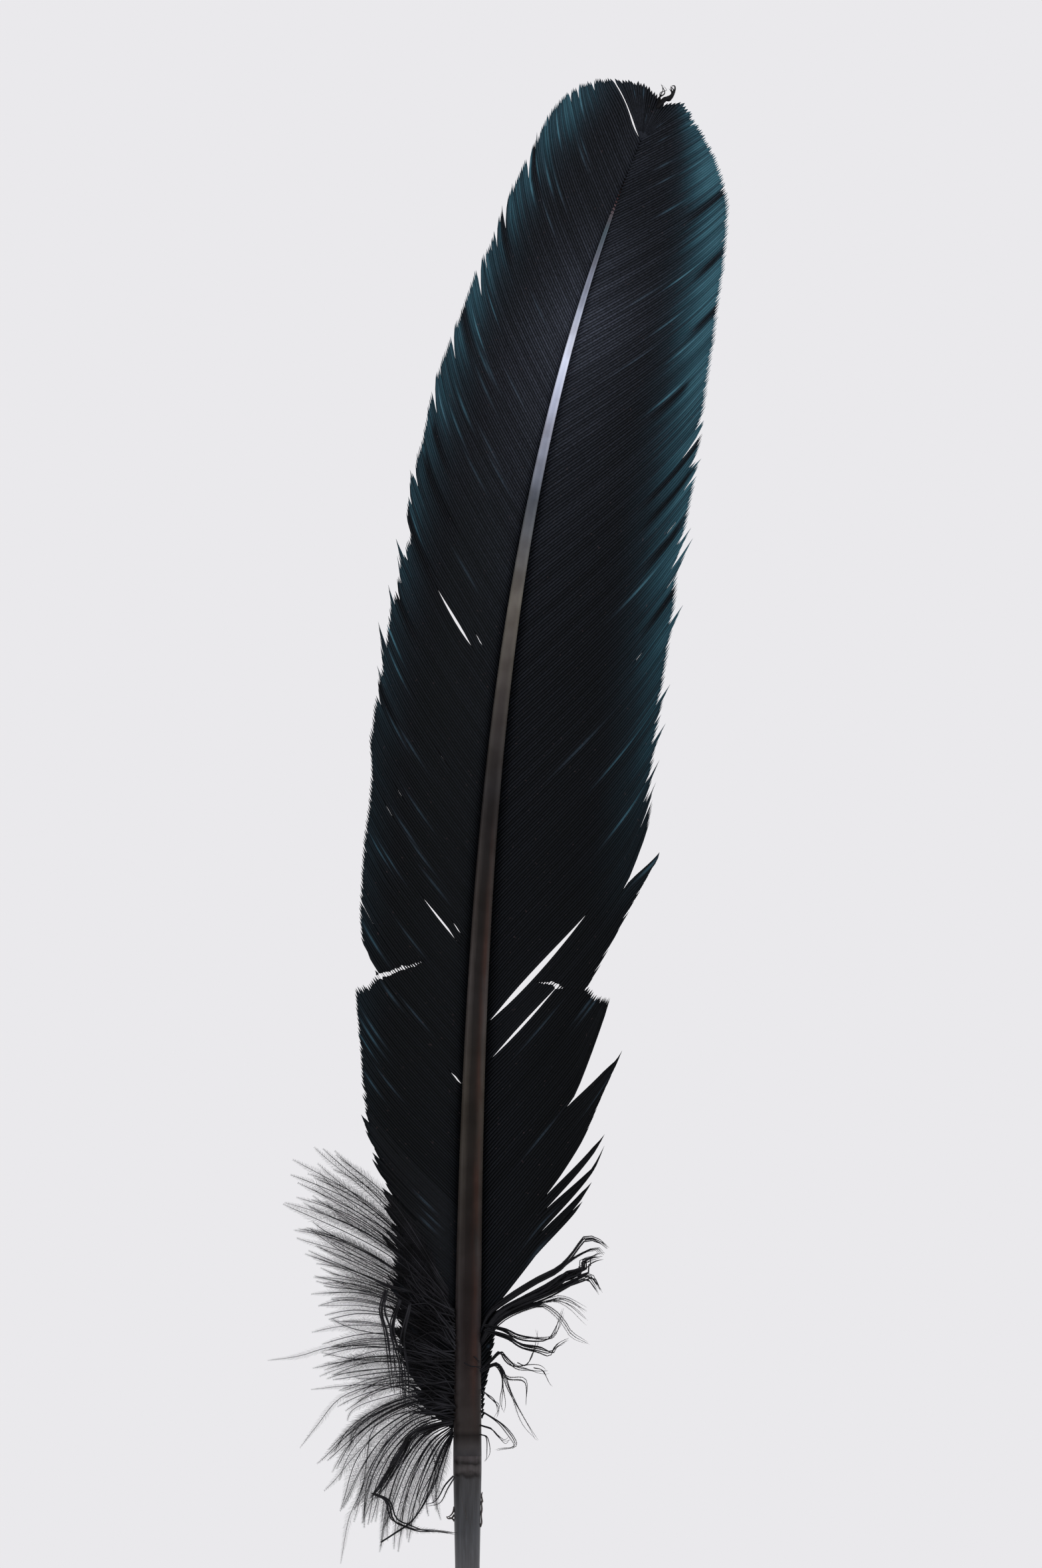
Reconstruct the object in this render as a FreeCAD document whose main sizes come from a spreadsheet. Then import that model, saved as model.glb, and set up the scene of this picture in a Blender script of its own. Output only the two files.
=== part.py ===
import FreeCAD, Part
import math
import os

import Sketcher
from FreeCAD import Vector

# A quill pen: a large flight feather whose hollow barrel is cut to a two-tined nib.
# Frame: +Z runs up the barrel from the nib to the feather's tip, -Y is the ventral side
# (the grooved side of the shaft and the scooped side of the nib), +X is the wide vane.
# The origin lies on the barrel's axis, at the middle of its straight round length.

doc = FreeCAD.newDocument("QuillPen")
sheet = doc.addObject("Spreadsheet::Sheet", "Sizes")

SIZES = [
    ("grip_radius", 2.6, "outside of the straight part of the barrel"),
    ("umbilicus_radius", 3.0, "outside of the barrel where the shaft begins"),
    ("nib_radius", 2.45, "outside of the barrel at the tines' roots, where it has tapered a little"),
    ("barrel_wall", 0.45, "thickness of the barrel's horny wall"),
    ("grip_low", -20.0, "lower end of the full round length, where the scoop starts"),
    ("grip_high", 12.0, "upper end of the straight round length"),
    ("swell_top", 32.0, "level where the barrel reaches its largest radius"),
    ("umbilicus_level", 35.0, "level where the barrel ends and the shaft begins"),
    ("tine_root_level", -31.0, "level where the two tines begin to bend"),
    ("tine_gap", 0.25, "room left for the bending at the tines' roots"),
    ("tine_floor", 0.9, "height of the tines' cut edges above the barrel's axis"),
    ("tine_length", 8.75, "length of a tine"),
    ("tine_root_width", 1.75, "half width of the nib just below its shoulders"),
    ("tine_tip_width", 0.35, "half width of the nib's end"),
    ("slit_width", 0.12, "width of the ink slit"),
    ("slit_top_level", -25.0, "level where the ink slit ends"),
    ("membrane_radius", 1.7, "radius of the dried pulp cups inside the barrel"),
    ("membrane_thread", 0.35, "radius of the dried thread that joins the cups"),
    ("membrane_low", 16.5, "lowest cup of the dried pulp"),
    ("membrane_pitch", 4.0, "distance from one pulp cup to the next"),
    ("flake_low", 19.5, "lower edge of the loose sheath scraps"),
    ("flake_height", 6.0, "height of a sheath scrap"),
    ("flake_radius", 2.95, "inner radius of a sheath scrap"),
    ("flake_thickness", 0.15, "thickness of a sheath scrap"),
    ("flake_arc", 50.0, "angle that a sheath scrap covers"),
    ("shaft_length", 277.0, "height of the shaft above the barrel"),
    ("shaft_sweep", 36.6, "sideways reach of the shaft at its tip"),
    ("shaft_sag", 13.0, "reach of the tip towards the ventral side"),
    ("shaft_taper", 0.75, "exponent of the shaft's taper"),
    ("shaft_end_width", 0.35, "width of the shaft at its tip"),
    ("groove_start", 25.0, "height at which the ventral groove has its full depth"),
    ("groove_share", 0.32, "groove depth over the shaft's half depth"),
    ("shaft_depth_share", 0.92, "shaft depth over shaft width"),
    ("pith_width_share", 0.70, "pith width over shaft width"),
    ("pith_depth_share", 0.48, "pith depth over shaft depth"),
    ("pith_rise_share", 0.14, "dorsal offset of the pith over the half depth"),
    ("pith_clearance", 0.05, "gap between pith and cortex"),
    ("pith_top", 240.0, "height at which the pith ends"),
    ("vane_thickness", 0.3, "thickness of a vane panel"),
    ("vane_camber", 4.5, "fall of a vane's edge towards the ventral side"),
    ("vane_half_width", 50.0, "distance from the shaft at which the camber is measured"),
    ("vane_root_gap", 0.05, "gap between the shaft and a vane panel"),
    ("vane_rise_share", 0.3, "dorsal offset of the vane over the shaft's half depth"),
    ("panel_gap", 0.3, "height of the parting between two vane panels"),
    ("sweep_power", 2.5, "how late the barbs sweep towards the tip"),
    ("left_sweep", 24.0, "degrees by which a left barb turns towards the tip"),
    ("right_sweep", 18.0, "degrees by which a right barb turns towards the tip"),
    ("down_width", 0.9, "width of a strand of down at its root"),
    ("down_end_width", 0.5, "width of a strand of down at its end"),
    ("down_thickness", 0.3, "thickness of a strand of down"),
]

# Stations up the shaft, each with the barbs' length and angle from the shaft on both sides.
STATIONS = [
    ("base", 28.0, 31.0, 50.0, 50.0, 38.0),
    ("low", 70.0, 41.0, 45.0, 54.5, 40.5),
    ("waist", 112.0, 46.5, 42.0, 60.5, 41.0),
    ("middle", 165.0, 45.0, 40.0, 57.5, 42.0),
    ("shoulder", 215.0, 39.0, 41.0, 45.5, 45.0),
    ("high", 250.0, 33.0, 41.0, 33.5, 45.0),
    ("crown", 268.0, 22.0, 37.0, 20.0, 41.0),
    ("top", 277.0, 11.5, 25.0, 11.0, 25.0),
]
STATION_COLUMNS = ("height", "left_length", "left_angle", "right_length", "right_angle")

for station in STATIONS:
    for column, value in zip(STATION_COLUMNS, station[1:]):
        SIZES.append((f"{station[0]}_{column}", value, f"{column} at the {station[0]} station"))

for row, (alias, value, note) in enumerate(SIZES, start=1):
    sheet.set(f"A{row}", note)
    sheet.set(f"B{row}", str(value))
    sheet.setAlias(f"B{row}", alias)
doc.recompute()


def size(alias):
    return float(sheet.get(alias))


def origin_plane(body, role):
    return next(item for item in body.Origin.OriginFeatures if item.Role == role)


def make_body(label):
    body = doc.addObject("PartDesign::Body", label)
    body.Label = label
    return body


def add_sketch(body, name, role):
    sketch = body.newObject("Sketcher::SketchObject", name)
    sketch.AttachmentSupport = [(origin_plane(body, role), "")]
    sketch.MapMode = "FlatFace"
    return sketch


def pin_point(sketch, name, geometry, point, across, along):
    """Fix a sketch point to the origin by two expressions of the sheet's cells."""
    for kind, axis, expression in (("DistanceX", "x", across), ("DistanceY", "y", along)):
        index = sketch.addConstraint(Sketcher.Constraint(kind, -1, 1, geometry, point, 1.0))
        sketch.renameConstraint(index, f"{name}_{axis}")
        sketch.setExpression(f"Constraints.{name}_{axis}", expression)


def polygon_sketch(body, name, role, corners):
    """A closed polygon; each corner is a pair of expressions."""
    sketch = add_sketch(body, name, role)
    count = len(corners)
    for i in range(count):
        turn, following = 2 * math.pi * i / count, 2 * math.pi * (i + 1) / count
        sketch.addGeometry(Part.LineSegment(Vector(math.cos(turn), math.sin(turn), 0),
                                            Vector(math.cos(following), math.sin(following), 0)))
    for i in range(count):
        sketch.addConstraint(Sketcher.Constraint("Coincident", i, 2, (i + 1) % count, 1))
    for i, (across, along) in enumerate(corners):
        pin_point(sketch, f"corner{i}", i, 1, across, along)
    return sketch


def revolve(body, sketch):
    turned = body.newObject("PartDesign::Revolution", "Revolution")
    turned.Profile = sketch
    turned.ReferenceAxis = (sketch, ["V_Axis"])
    turned.Angle = 360
    return turned


CUT_LENGTH = 20


def pocket_both_ways(body, sketch, name):
    """Cut a sketch through the body on both sides of its plane, and check that it cut."""
    doc.recompute()
    before = body.Shape.Volume
    cut = body.newObject("PartDesign::Pocket", name)
    cut.Profile = sketch
    cut.SideType = "Symmetric"
    cut.Length = CUT_LENGTH
    doc.recompute()
    assert body.Shape.Volume < before, f"{name} cuts nothing"
    return cut


# ---- the barrel: a horny tube, scooped away below on its ventral side and slit ----
barrel = make_body("barrel")
barrel_profile = polygon_sketch(barrel, "BarrelProfile", "XZ_Plane", [
    ("Sizes.nib_radius - Sizes.barrel_wall", "Sizes.tine_root_level"),
    ("Sizes.nib_radius", "Sizes.tine_root_level"),
    ("Sizes.grip_radius", "Sizes.grip_low"),
    ("Sizes.grip_radius", "Sizes.grip_high"),
    ("Sizes.umbilicus_radius", "Sizes.swell_top"),
    ("Sizes.umbilicus_radius", "Sizes.umbilicus_level"),
    ("Sizes.umbilicus_radius - Sizes.barrel_wall", "Sizes.umbilicus_level"),
    ("Sizes.umbilicus_radius - Sizes.barrel_wall", "Sizes.swell_top"),
    ("Sizes.grip_radius - Sizes.barrel_wall", "Sizes.grip_high"),
    ("Sizes.grip_radius - Sizes.barrel_wall", "Sizes.grip_low"),
])
revolve(barrel, barrel_profile)

# The scoop is one circle; its first place and radius only start the sketch's solver.
FIRST_CENTRE = Vector(-18, -31, 0)
FIRST_RADIUS = 19.0
scoop = add_sketch(barrel, "Scoop", "YZ_Plane")
scoop.addGeometry(Part.Circle(FIRST_CENTRE, Vector(0, 0, 1), FIRST_RADIUS))
SCOOP_DEPTH = "(Sizes.grip_radius + Sizes.tine_floor)"
SCOOP_RUN = "(Sizes.grip_low - Sizes.tine_root_level)"
SCOOP_RADIUS = f"({SCOOP_DEPTH}^2 + {SCOOP_RUN}^2) / (2 * {SCOOP_DEPTH})"
pin_point(scoop, "centre", 0, 3, f"Sizes.tine_floor - {SCOOP_RADIUS}", "Sizes.tine_root_level")
radius_index = scoop.addConstraint(Sketcher.Constraint("Radius", 0, FIRST_RADIUS))
scoop.renameConstraint(radius_index, "scoop_radius")
scoop.setExpression("Constraints.scoop_radius", SCOOP_RADIUS)
pocket_both_ways(barrel, scoop, "ScoopCut")

slit = polygon_sketch(barrel, "Slit", "XZ_Plane", [
    ("Sizes.slit_width / 2", "Sizes.slit_top_level"),
    ("-Sizes.slit_width / 2", "Sizes.slit_top_level"),
    ("-Sizes.slit_width / 2", "Sizes.tine_root_level - 1"),
    ("Sizes.slit_width / 2", "Sizes.tine_root_level - 1"),
])
pocket_both_ways(barrel, slit, "SlitCut")


# ---- the tines: the two halves of the nib below the shoulders ----
def make_tine(label, side):
    """A strip of the barrel's wall that narrows to the nib's end; side is -1 or +1."""
    top = "Sizes.tine_root_level - Sizes.tine_gap"
    tubes = []
    radii = {"Outer": "Sizes.nib_radius", "Inner": "Sizes.nib_radius - Sizes.barrel_wall"}
    for name, radius in radii.items():
        tube = doc.addObject("Part::Cylinder", f"{label}{name}")
        tube.setExpression("Radius", radius)
        tube.setExpression("Height", "Sizes.tine_length")
        tube.setExpression("Placement.Base.z", f"{top} - Sizes.tine_length")
        tubes.append(tube)
    wall = doc.addObject("Part::Cut", f"{label}Wall")
    wall.Base, wall.Tool = tubes
    near, far, tip = "Sizes.slit_width / 2", "Sizes.tine_root_width", "Sizes.tine_tip_width"
    if side > 0:
        edges = {"Xmin": near, "Xmax": far, "X2min": near, "X2max": tip}
    else:
        edges = {"Xmin": f"-{far}", "Xmax": f"-{near}", "X2min": f"-{tip}", "X2max": f"-{near}"}
    floor, ceiling = "Sizes.tine_floor", "Sizes.nib_radius + 1"
    taper = doc.addObject("Part::Wedge", f"{label}Taper")
    taper.Placement = FreeCAD.Placement(Vector(0, 0, 0), FreeCAD.Rotation(Vector(1, 0, 0), -90))
    taper.setExpression("Placement.Base.z", top)
    taper.setExpression("Ymin", "0")
    taper.setExpression("Ymax", "Sizes.tine_length")
    edges |= {"Zmin": floor, "Z2min": floor, "Zmax": ceiling, "Z2max": ceiling}
    for name, expression in edges.items():
        taper.setExpression(name, expression)
    tine = doc.addObject("Part::Common", label)
    tine.Label = label
    tine.Base, tine.Tool = wall, taper
    return tine


left_tine = make_tine("left_tine", -1)
right_tine = make_tine("right_tine", 1)

# ---- the dried pulp: a thread with cups, left inside the barrel ----
membrane = make_body("pulp_membrane")
CUP_COUNT = 4
CUP_THICKNESS = 0.3
CUP_LIFT = 1.2
thread_corners = [("0", "Sizes.membrane_low")]
for cup in range(CUP_COUNT):
    level = f"Sizes.membrane_low + {cup} * Sizes.membrane_pitch"
    thread_corners += [
        ("Sizes.membrane_thread", level),
        ("Sizes.membrane_radius", f"{level} + {CUP_LIFT}"),
        ("Sizes.membrane_radius", f"{level} + {CUP_LIFT + CUP_THICKNESS}"),
        ("Sizes.membrane_thread", f"{level} + {2 * CUP_THICKNESS}"),
    ]
top_cup = f"Sizes.membrane_low + {CUP_COUNT - 1} * Sizes.membrane_pitch"
thread_corners.append(("0", f"{top_cup} + {2 * CUP_THICKNESS}"))
revolve(membrane, polygon_sketch(membrane, "PulpProfile", "XZ_Plane", thread_corners))


# ---- scraps of sheath that cling to the barrel ----
def make_flake(label, start_angle):
    """A thin curved scrap of the skin that once wrapped the barrel."""
    skins = []
    turned = FreeCAD.Rotation(Vector(0, 0, 1), start_angle)
    radii = {"Outer": "Sizes.flake_radius + Sizes.flake_thickness", "Inner": "Sizes.flake_radius"}
    for name, radius in radii.items():
        skin = doc.addObject("Part::Cylinder", f"{label}{name}")
        skin.setExpression("Radius", radius)
        skin.setExpression("Height", "Sizes.flake_height")
        skin.setExpression("Angle", "Sizes.flake_arc")
        skin.Placement = FreeCAD.Placement(Vector(0, 0, 0), turned)
        skin.setExpression("Placement.Base.z", "Sizes.flake_low")
        skins.append(skin)
    flake = doc.addObject("Part::Cut", label)
    flake.Label = label
    flake.Base, flake.Tool = skins
    return flake


FLAKE_STARTS = {"sheath_scrap_left": 160.0, "sheath_scrap_right": -30.0}
flakes = [make_flake(name, angle) for name, angle in FLAKE_STARTS.items()]


# ---- the shaft's line and its sections ----
# Shares of the sideways sweep that come from an early, gentle bend and from a late one.
EARLY_BEND = 0.4
LATE_BEND = 0.6


def shaft_x(height):
    share = height / size("shaft_length")
    return size("shaft_sweep") * (EARLY_BEND * share**2 + LATE_BEND * share**4)


def shaft_y(height):
    return -size("shaft_sag") * max(0.0, height / size("shaft_length")) ** 2


def shaft_tilt(height):
    share = height / size("shaft_length")
    steepness = 2 * EARLY_BEND * share + 4 * LATE_BEND * share**3
    return math.atan(size("shaft_sweep") * steepness / size("shaft_length"))


def shaft_width(height):
    left_over = max(0.0, 1 - height / size("shaft_length"))
    full = 2 * size("umbilicus_radius")
    return max(size("shaft_end_width"), full * left_over ** size("shaft_taper"))


def shaft_depth(height):
    blend = min(1.0, max(0.0, height) / size("groove_start"))
    return shaft_width(height) * (1 - (1 - size("shaft_depth_share")) * blend)


def place(name, shape):
    piece = doc.addObject("Part::Feature", name)
    piece.Label = name
    piece.Shape = shape
    piece.Placement = FreeCAD.Placement()
    return piece


def closed_curve(points):
    curve = Part.BSplineCurve()
    curve.interpolate(points, PeriodicFlag=True)
    return Part.Wire([curve.toShape()])


SECTION_POINTS = 16


def section(height, width, depth, rise, groove):
    """An oval across the shaft, with a dent of the given depth on its ventral side."""
    steps = SECTION_POINTS
    points = []
    for i in range(steps):
        turn = 2 * math.pi * i / steps
        dent = groove if i == 3 * steps // 4 else 0.0
        points.append(Vector(shaft_x(height) + width / 2 * math.cos(turn),
                             shaft_y(height) + rise + depth / 2 * math.sin(turn) + dent,
                             size("umbilicus_level") + height))
    return closed_curve(points)


def outer_section(height):
    depth = shaft_depth(height)
    blend = min(1.0, height / size("groove_start"))
    return section(height, shaft_width(height), depth, 0.0, size("groove_share") * depth / 2 * blend)


def pith_section(height, clearance):
    width, depth = shaft_width(height), shaft_depth(height)
    return section(height, width * size("pith_width_share") - 2 * clearance,
                   depth * size("pith_depth_share") - 2 * clearance,
                   size("pith_rise_share") * depth / 2, 0.0)


def heights(low, high, count):
    return [low + (high - low) * i / (count - 1) for i in range(count)]


FIRST_SECTION = 8.0
SHAFT_SECTIONS = 13
PITH_SECTIONS = 12
shaft_heights = [0.0, FIRST_SECTION]
shaft_heights += heights(size("groove_start"), size("shaft_length"), SHAFT_SECTIONS)
pith_heights = heights(0.0, size("pith_top"), PITH_SECTIONS)
shaft_solid = Part.makeLoft([outer_section(height) for height in shaft_heights], True, False)
hollow = Part.makeLoft([pith_section(height, 0.0) for height in pith_heights], True, False)
pith_ovals = [pith_section(height, size("pith_clearance")) for height in pith_heights]
pith = Part.makeLoft(pith_ovals, True, False)
shaft_pieces = [place("rachis", shaft_solid.cut(hollow)), place("rachis_pith", pith)]


# ---- the vanes: panels of zipped barbs between the splits ----
def at_station(height, column):
    """A barb's length or angle at a height, straight between the stations."""
    names = [station[0] for station in STATIONS]
    for low, high in zip(names, names[1:]):
        start, end = size(f"{low}_height"), size(f"{high}_height")
        if height <= end:
            share = max(0.0, (height - start) / (end - start))
            first, last = size(f"{low}_{column}"), size(f"{high}_{column}")
            return first + (last - first) * share
    return size(f"{names[-1]}_{column}")


def sheet_y(x, height):
    """The vane's depth at a point: it follows the shaft and falls away towards its edge."""
    reach = (x - shaft_x(height)) / size("vane_half_width")
    rise = size("vane_rise_share") * shaft_depth(min(height, size("shaft_length"))) / 2
    return shaft_y(height) + rise - size("vane_camber") * reach**2


def barb_points(side_name, side, height, count):
    """Points along one barb, from the shaft's side to the barb's end."""
    length = at_station(height, f"{side_name}_length")
    angle = math.radians(at_station(height, f"{side_name}_angle"))
    sweep = math.radians(size(f"{side_name}_sweep"))
    x = shaft_x(height) + side * (shaft_width(height) / 2 + size("vane_root_gap"))
    rise = height
    points = [Vector(x, sheet_y(x, rise), size("umbilicus_level") + rise)]
    for i in range(count):
        share = (i + 0.5) / count
        heading = shaft_tilt(height) + side * (angle - sweep * share ** size("sweep_power"))
        x += math.sin(heading) * length / count
        rise += math.cos(heading) * length / count
        points.append(Vector(x, sheet_y(x, rise), size("umbilicus_level") + rise))
    return points


def skin_solid(rows, thickness):
    """A thin solid on a smooth surface through rows of points."""
    surface = Part.BSplineSurface()
    surface.interpolate(rows)
    solid = surface.toShape().extrude(Vector(0, thickness, 0))
    if solid.Volume < 0:
        solid.reverse()
    return solid


# The heights of the splits, from the lowest barb to the shaft's tip.
SPLITS = {
    "left": (26.0, 46.0, 72.0, 98.0, 128.0, 158.0, 192.0, 232.0, 277.0),
    "right": (30.0, 45.0, 62.0, 88.0, 118.0, 152.0, 190.0, 234.0, 277.0),
}
SIDES = {"left": -1, "right": 1}
BARBS_PER_PANEL = 6
POINTS_PER_BARB = 8

panels = []
for side_name, splits in SPLITS.items():
    for number, (low, high) in enumerate(zip(splits, splits[1:]), start=1):
        roots = heights(low + size("panel_gap") / 2, high - size("panel_gap") / 2, BARBS_PER_PANEL)
        barbs = [barb_points(side_name, SIDES[side_name], root, POINTS_PER_BARB) for root in roots]
        panels.append(place(f"{side_name}_vane_{number}", skin_solid(barbs, size("vane_thickness"))))


# ---- down, curled barbs and the wisp at the tip: bundles of separate slender strands ----
STRAND_STEPS = 10


def strand(root, start_angle, end_angle, length, root_width, end_width):
    """A flat strand that leaves its root at one angle from +Z and ends at another."""
    steps = STRAND_STEPS
    rows = [[], []]
    x, y, z = root
    for i in range(steps + 1):
        share = i / steps
        heading = math.radians(start_angle + (end_angle - start_angle) * share)
        half = (root_width + (end_width - root_width) * share) / 2
        for row, side in zip(rows, (-1, 1)):
            reach = side * half
            row.append(Vector(x + reach * math.cos(heading), y, z - reach * math.sin(heading)))
        x += math.sin(heading) * length / steps
        z += math.cos(heading) * length / steps
    return skin_solid(rows, size("down_thickness"))


def between(pair, share):
    return pair[0] + (pair[1] - pair[0]) * share


# Each bundle: side, strand count, root levels, offset in Y, start angles, end angles, lengths.
BUNDLES = {
    "down_left_crest": (-1, 3, (59.5, 56.5), 2.0, (-44, -56), (-38, -60), (46, 43)),
    "down_left_upper": (-1, 3, (55.0, 52.0), 0.6, (-62, -74), (-60, -84), (42, 41)),
    "down_left_middle": (-1, 3, (50.5, 47.5), 0.6, (-80, -92), (-88, -104), (41, 40)),
    "down_left_lower": (-1, 3, (46.0, 43.0), 0.6, (-98, -108), (-112, -132), (39, 37)),
    "down_left_hanging": (-1, 3, (41.5, 38.5), 0.6, (-112, -124), (-142, -172), (36, 32)),
    "curl_right_upper": (1, 3, (60.0, 57.0), 1.6, (50, 58), (74, 112), (34, 28)),
    "curl_right_lower": (1, 3, (54.5, 51.5), 0.6, (62, 70), (118, 132), (27, 22)),
    "wisps_right": (1, 4, (48.0, 38.0), 0.6, (84, 96), (100, 120), (15, 8)),
}
ROOT_REACH = 0.15

bundles = []
for name, (side, count, levels, offset, starts, ends, lengths) in BUNDLES.items():
    strands = []
    for i in range(count):
        share = i / (count - 1)
        level = between(levels, share)
        height = level - size("umbilicus_level")
        half_depth = shaft_depth(height) / 2
        half_width = shaft_width(height) / 2 * math.sqrt(1 - (offset / half_depth) ** 2)
        reach = half_width + ROOT_REACH + size("down_width") / 2
        root = (side * reach, shaft_y(height) + offset, level)
        strands.append(strand(root, between(starts, share), between(ends, share),
                              between(lengths, share), size("down_width"), size("down_end_width")))
    bundles.append(place(name, Part.makeCompound(strands)))

TIP_ANGLES = (5, 14, 23, 32, 41)
TIP_START = 3.0
TIP_LENGTH = 9.0
TIP_ROOT_WIDTH = 0.35
TIP_END_WIDTH = 1.3
tip_height = size("shaft_length")
tip_strands = []
for angle in TIP_ANGLES:
    heading = math.radians(angle)
    root = (shaft_x(tip_height) + TIP_START * math.sin(heading), shaft_y(tip_height),
            size("umbilicus_level") + tip_height + TIP_START * math.cos(heading))
    tip_strands.append(strand(root, angle, angle, TIP_LENGTH, TIP_ROOT_WIDTH, TIP_END_WIDTH))
bundles.append(place("tip_wisp", Part.makeCompound(tip_strands)))

# ---- check everything, then write one file for each piece ----
doc.recompute()
for item in doc.Objects:
    bad = [state for state in item.State if state in ("Invalid", "Error")]
    assert not bad, f"{item.Name} is {bad}"

pieces = [barrel, left_tine, right_tine, membrane] + flakes + shaft_pieces + panels + bundles
os.makedirs("parts", exist_ok=True)
total = 0.0
for piece in pieces:
    shape = piece.Shape
    assert not shape.isNull() and shape.isValid() and shape.Solids, piece.Label
    assert all(solid.Volume > 0 for solid in shape.Solids), piece.Label
    total += shape.Volume
    shape.exportStep(f"parts/{piece.Label}.step")
    print(f"{piece.Label:20s} {len(shape.Solids)} solid(s) {shape.Volume:9.2f} mm3")
print(f"{len(pieces)} nodes, {total:.0f} mm3")
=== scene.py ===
# %% [markdown]
# # A quill pen
#
# A quill is one long flight feather whose hollow barrel is cut to a nib. Above the barrel the
# shaft carries two vanes, and each vane is several hundred barbs hooked side by side. The frame
# holds the sizes and the parts that move; this lesson builds the looks around it.

# %% Load the frame
import math

import bmesh
import bpy
import numpy as np
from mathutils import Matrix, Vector


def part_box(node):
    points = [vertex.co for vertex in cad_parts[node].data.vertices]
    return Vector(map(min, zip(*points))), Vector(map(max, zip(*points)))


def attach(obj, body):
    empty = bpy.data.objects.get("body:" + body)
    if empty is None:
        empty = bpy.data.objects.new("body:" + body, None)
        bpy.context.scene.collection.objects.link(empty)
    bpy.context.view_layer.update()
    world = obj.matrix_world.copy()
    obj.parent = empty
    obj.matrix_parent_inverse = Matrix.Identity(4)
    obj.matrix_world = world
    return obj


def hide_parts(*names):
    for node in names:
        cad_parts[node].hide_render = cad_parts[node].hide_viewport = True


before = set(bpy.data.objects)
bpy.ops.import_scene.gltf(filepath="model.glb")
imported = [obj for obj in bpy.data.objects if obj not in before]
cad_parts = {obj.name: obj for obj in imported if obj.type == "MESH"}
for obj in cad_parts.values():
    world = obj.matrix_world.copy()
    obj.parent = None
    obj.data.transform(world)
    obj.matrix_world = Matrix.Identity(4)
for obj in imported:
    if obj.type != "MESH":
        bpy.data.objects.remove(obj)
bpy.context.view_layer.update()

MM = 0.001
bpy.ops.object.select_all(action="DESELECT")
rng = np.random.default_rng(7)


# %% [markdown]
# ## Colours and nodes
#
# Colours are written as a painter reads them, in sRGB hex, and one function turns them to the
# linear values that a shader wants. One more function adds any node with its settings and links,
# and a few short ones on top of it save writing the same nodes out for every material.

# %% Helpers for materials
def linear(colour):
    """Turn a hex colour such as "8a7f72" into linear red, green, blue and alpha."""
    parts = [int(colour[i:i + 2], 16) / 255 for i in (0, 2, 4)]
    return tuple(p / 12.92 if p <= 0.04045 else ((p + 0.055) / 1.055) ** 2.4 for p in parts) + (1.0,)


def add_node(tree, kind, settings=None, inputs=None):
    """Add a node, set its properties, and give each input a value or another node's output."""
    node = tree.nodes.new(kind)
    for key, value in (settings or {}).items():
        setattr(node, key, value)
    for key, value in (inputs or {}).items():
        if isinstance(value, bpy.types.NodeSocket):
            tree.links.new(value, node.inputs[key])
        else:
            node.inputs[key].default_value = value
    return node


def new_material(name, roughness, specular=0.5):
    """A material with one Principled shader; keratin, the stuff of feathers, has an IOR of 1.55."""
    material = bpy.data.materials.new(name)
    material.use_nodes = True
    shader = material.node_tree.nodes["Principled BSDF"]
    shader.inputs["Roughness"].default_value = roughness
    shader.inputs["IOR"].default_value = 1.55
    shader.inputs["Specular IOR Level"].default_value = specular
    return material, material.node_tree, shader


def ramp(tree, factor, stops):
    """A colour ramp: its stops are (place, hex colour)."""
    node = add_node(tree, "ShaderNodeValToRGB", inputs={"Fac": factor})
    elements = node.color_ramp.elements
    while len(elements) < len(stops):
        elements.new(0.5)
    for element, (place, colour) in zip(elements, stops):
        element.position, element.color = place, linear(colour)
    return node.outputs["Color"]


def attribute(tree, name):
    return add_node(tree, "ShaderNodeAttribute", {"attribute_name": name}).outputs["Fac"]


def object_place(tree):
    return add_node(tree, "ShaderNodeTexCoord").outputs["Object"]


def noise(tree, place, scale, detail, roughness=0.5):
    return add_node(tree, "ShaderNodeTexNoise", inputs={
        "Vector": place, "Scale": scale, "Detail": detail, "Roughness": roughness}).outputs["Fac"]


def drawn_out_noise(tree, place, across, along, detail, roughness=0.5):
    """Noise with one scale across the feather and a longer one along it."""
    stretched = add_node(tree, "ShaderNodeMapping", inputs={
        "Vector": place, "Scale": (across, across, along)}).outputs["Vector"]
    return noise(tree, stretched, 1.0, detail, roughness)


def calculate(tree, operation, *values, clamp=False):
    return add_node(tree, "ShaderNodeMath", {"operation": operation, "use_clamp": clamp},
                    dict(enumerate(values))).outputs[0]


def mix(tree, factor, first, second, blend="MIX"):
    """Mix two colours; the second may be a hex colour."""
    second = linear(second) if isinstance(second, str) else second
    return add_node(tree, "ShaderNodeMix", {"data_type": "RGBA", "blend_type": blend},
                    {0: factor, 6: first, 7: second}).outputs[2]


def level_of(tree, height, low, high):
    """0 at one height and 1 at another, both in metres."""
    return add_node(tree, "ShaderNodeMapRange", inputs={
        "Value": height, "From Min": low, "From Max": high}).outputs["Result"]


def dress(tree, shader, colour, height=None, strength=0.0, distance=0.0):
    """Give the shader its colour, and a bump where there is a height for one."""
    tree.links.new(colour, shader.inputs["Base Color"])
    if height is not None:
        bump = add_node(tree, "ShaderNodeBump", inputs={
            "Strength": strength, "Distance": distance, "Height": height}).outputs["Normal"]
        tree.links.new(bump, shader.inputs["Normal"])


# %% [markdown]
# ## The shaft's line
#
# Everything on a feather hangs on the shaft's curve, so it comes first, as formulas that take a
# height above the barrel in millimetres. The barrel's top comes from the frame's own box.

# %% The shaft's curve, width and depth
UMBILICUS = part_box("barrel")[1].z / MM
SHAFT_LENGTH = 277.0
SHAFT_END_WIDTH = 0.35
SWEEP = 36.6
SAG = 13.0
BARREL_RADIUS = 3.0
EARLY_BEND, LATE_BEND = 0.4, 0.6


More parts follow.
